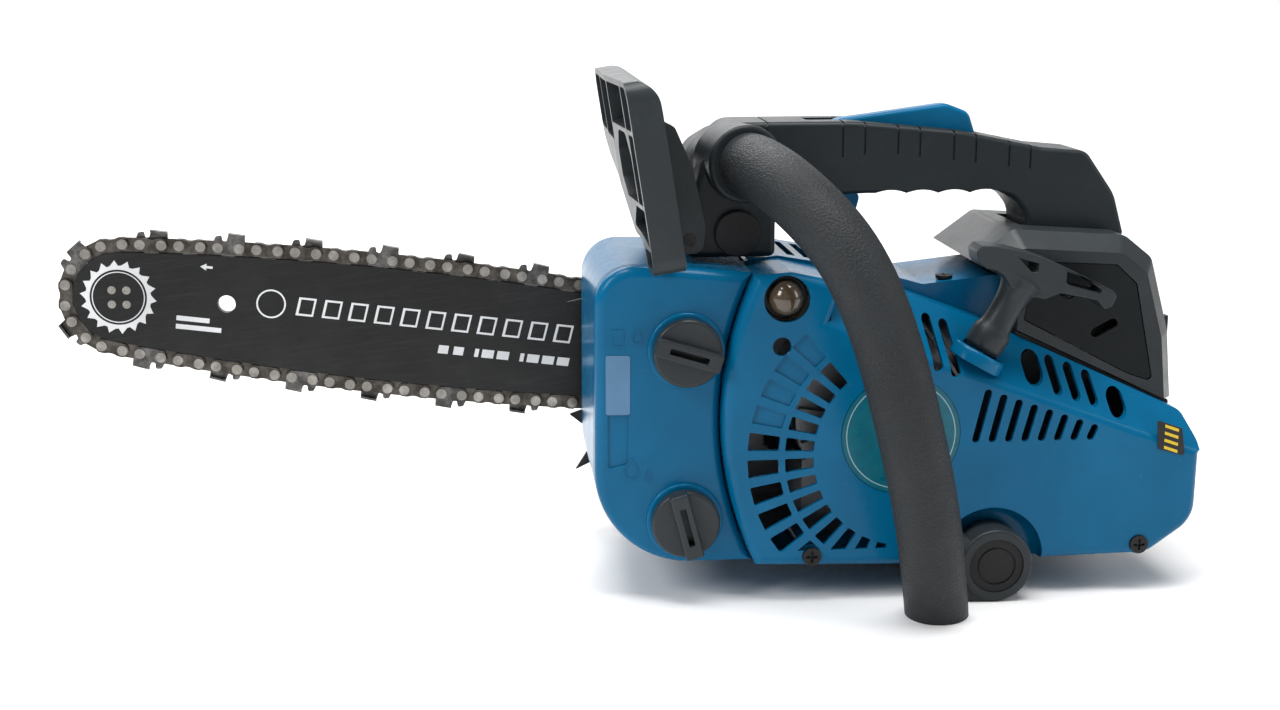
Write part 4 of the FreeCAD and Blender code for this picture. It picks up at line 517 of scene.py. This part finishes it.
def bar_prints():
    """Generic marks without letters: toothed ring, arrow, bars, a circle and a row of open blocks."""
    for side, y in (("near", 47.9), ("far", 52.1)):
        teeth = 18
        outer = []
        for k in range(teeth):
            for dt, r in ((0.0, 18.4), (0.28, 15.6), (0.55, 15.8), (0.9, 17.6)):
                t = 2 * math.pi * (k + dt) / teeth
                outer.append((NOSE_U + 0.4 + r * math.cos(t), r * math.sin(t)))
        inner = [(NOSE_U + 0.4 + 13.7 * math.cos(2 * math.pi * (k + 0.3) / len(outer)),
                  13.7 * math.sin(2 * math.pi * (k + 0.3) / len(outer))) for k in range(len(outer))]
        loops = [(outer, inner), (ring(NOSE_U + 0.4, 0, 12.7), ring(NOSE_U + 0.4, 0, 12.2))]
        loops.append(([(321.5, 19.5), (318.5, 21.2), (318.5, 20.1), (315.5, 20.1), (315.5, 18.9), (318.5, 18.9),
                       (318.5, 17.8)], None))
        loops.append((ring(286.0, 4.6, 7.2), ring(286.0, 4.6, 6.4)))
        for k in range(11):
            u = 264.0 - 12.8 * k
            loops.append((block(u, 0.2, u + 8.6, 9.4, 1.2), block(u + 1.1, 1.2, u + 7.5, 8.4, 0.9)))
        for k, w in enumerate((5.0, 5.0, 2.0, 6.0, 6.0, 2.0, 6.0, 6.0, 6.0)):
            loops.append((block(197.0 - 7.6 * k, -11.6, 197.0 - 7.6 * k + w, -7.4, 0.4), None))
        for v, w in ((-8.4, 16.0), (-12.6, 22.0)):
            loops.append((block(331.0 - w, v, 331.0, v + 2.4), None))
        flat_print("bar_print_" + side, loops, y)


def outline_piece(name, outer, holes, y0, y1, mat, bevel, body, slot, hidden=()):
    """A moulded plate: an outline in XZ with windows, given its thickness along Y and soft edges."""
    bm = bmesh.new()
    for loop in [outer] + list(holes):
        vs = [bm.verts.new(P(x, y0, z)) for x, z in loop]
        for i in range(len(vs)):
            bm.edges.new((vs[i], vs[(i + 1) % len(vs)]))
    bmesh.ops.triangle_fill(bm, use_beauty=True, edges=bm.edges[:])
    bmesh.ops.dissolve_limit(bm, angle_limit=0.01, verts=bm.verts[:], edges=bm.edges[:])
    ex = bmesh.ops.extrude_face_region(bm, geom=bm.faces[:])
    up = [v for v in ex["geom"] if isinstance(v, bmesh.types.BMVert)]
    bmesh.ops.translate(bm, vec=(0, (y1 - y0) / 1000, 0), verts=up)
    bmesh.ops.recalc_face_normals(bm, faces=bm.faces)
    me = bpy.data.meshes.new(name)
    bm.to_mesh(me)
    bm.free()
    me.materials.append(mat)
    o = bpy.data.objects.new(name, me)
    bpy.context.scene.collection.objects.link(o)
    for p in me.polygons:
        p.use_smooth = True
    b = o.modifiers.new("radius", "BEVEL")
    b.width = bevel / 1000
    b.segments = 3
    b.limit_method = "ANGLE"
    b.angle_limit = math.radians(28)
    w = o.modifiers.new("normals", "WEIGHTED_NORMAL")
    w.weight = 80
    return finish_piece(o, body, slot, *hidden)


def lathe(name, profile, origin, axis, mat, body, slot, seg=48):
    """A turned piece: (distance along the axis, radius) pairs in millimetres about an axis."""
    axis = axis.normalized()
    a = axis.orthogonal().normalized()
    b = axis.cross(a)
    verts, faces = [], []
    for t, r in profile:
        for k in range(seg):
            q = 2 * math.pi * k / seg
            verts.append(origin + axis * (t / 1000) + (a * math.cos(q) + b * math.sin(q)) * (r / 1000))
    for i in range(len(profile) - 1):
        for k in range(seg):
            q = (k + 1) % seg
            faces.append((i * seg + k, i * seg + q, (i + 1) * seg + q, (i + 1) * seg + k))
    faces.append(tuple(reversed(range(seg))))
    faces.append(tuple((len(profile) - 1) * seg + k for k in range(seg)))
    o = new_mesh(name, verts, faces, mat)
    smooth_by_angle(o, 50)
    return finish_piece(o, body, slot)


def pull_grip():
    outer = [(31.8, 160.2), (34.0, 162.6), (40.0, 162.4), (50.0, 160.4), (58.4, 158.2), (66.0, 155.4),
             (80.0, 148.8), (95.4, 141.2), (97.0, 138.8), (94.8, 134.0), (91.4, 132.8), (88.0, 137.0),
             (80.0, 138.8), (71.0, 140.6), (64.0, 138.0), (56.0, 139.6), (48.0, 143.6), (45.4, 148.4),
             (41.6, 151.2), (36.0, 152.8), (32.8, 155.2)]
    holes = [[(51.6, 156.6), (60.4, 154.2), (60.2, 150.6), (57.4, 150.4)],
             [(73.6, 150.4), (73.4, 145.4), (75.2, 144.2), (89.6, 140.4), (89.8, 141.8), (82.0, 147.2)]]
    outline_piece("grip_bar", outer, holes, -68.6, -53.4, M["grey"], 2.2, "pull_grip", "grey_plastic",
                  ("starter_grip",))
    prof = [(-2.5, 2.4), (-2.5, 6.4), (-1.7, 7.9), (0.2, 8.8), (6.0, 8.9), (8.2, 8.5), (9.6, 7.6), (12.0, 7.1),
            (18.0, 6.8), (24.0, 7.0), (28.0, 7.8), (31.0, 9.2), (33.5, 10.6), (35.5, 8.0)]
    lathe("grip_stem", prof, P(*GRIP_BASE), GRIP_AXIS, M["grey"], "pull_grip", "grey_plastic")


def rope_bowl():
    """Collar on the starter housing that the T-grip rests in, with the rope passing through it."""
    prof = [(-9.0, 9.2), (-9.0, 12.6), (-4.6, 12.6), (-3.4, 12.2), (-2.9, 11.4), (-3.1, 9.6), (-4.4, 8.8)]
    lathe("rope_bowl", prof, P(*GRIP_BASE), GRIP_AXIS, M["blue"], "saw", "blue_gloss")


def seals():
    """Foam strip that closes the joint between the rear cover and the housings."""
    outer = [(58.9, 119.2), (86.0, 106.3), (112.0, 94.0), (134.2, 84.2), (134.2, 80.8), (112.0, 89.8),
             (86.0, 102.0), (58.9, 115.4)]
    outline_piece("cover_seal_foam", outer, [], -43.5, 29.0, M["rubber"], 0.6, "saw", "black_rubber")


def tank_marks():
    """Raised drop signs beside the two filler caps and the pale window that shows the fuel level."""
    def drop(cx, cz, k):
        pts = []
        for i in range(28):
            t = 2 * math.pi * i / 28
            r = k * (1.0 + (0.75 * max(0.0, math.cos(t)) ** 6))
            pts.append((cx + r * math.sin(t) * (1.0 if math.cos(t) < 0.4 else 0.8), cz + r * math.cos(t)))
        return pts

    def at(u, v, y):
        return P(u, y, v)
    loops = [(drop(-118.4, 122.5, 2.6), drop(-118.4, 122.5, 1.9)),
             (block(-129.6, 118.6, -124.2, 126.6), block(-128.9, 119.4, -124.9, 123.6))]
    flat_print("fuel_mark", loops, TANK_FACE, mat=M["blue"], thick=0.35, place=at, slot="blue_gloss")
    loops = [([(-132.3, 114.4), (-131.6, 115.0), (-122.1, 114.8), (-121.4, 114.1), (-121.5, 88.6),
               (-122.1, 87.9), (-131.7, 88.0), (-132.3, 88.7)], None)]
    flat_print("fuel_window", loops, TANK_FACE, mat=M["window"], thick=0.3, place=at, slot="blue_gloss")
    loops = [(drop(-121.0, 61.5, 3.6), drop(-121.0, 61.5, 2.9)),
             (drop(-113.2, 58.6, 2.0), drop(-113.2, 58.6, 1.5))]
    flat_print("oil_mark", loops, TANK_FACE, mat=M["blue"], thick=0.35, place=at, slot="blue_gloss")


rope()
bar_prints()
pull_grip()
rope_bowl()
seals()
tank_marks()
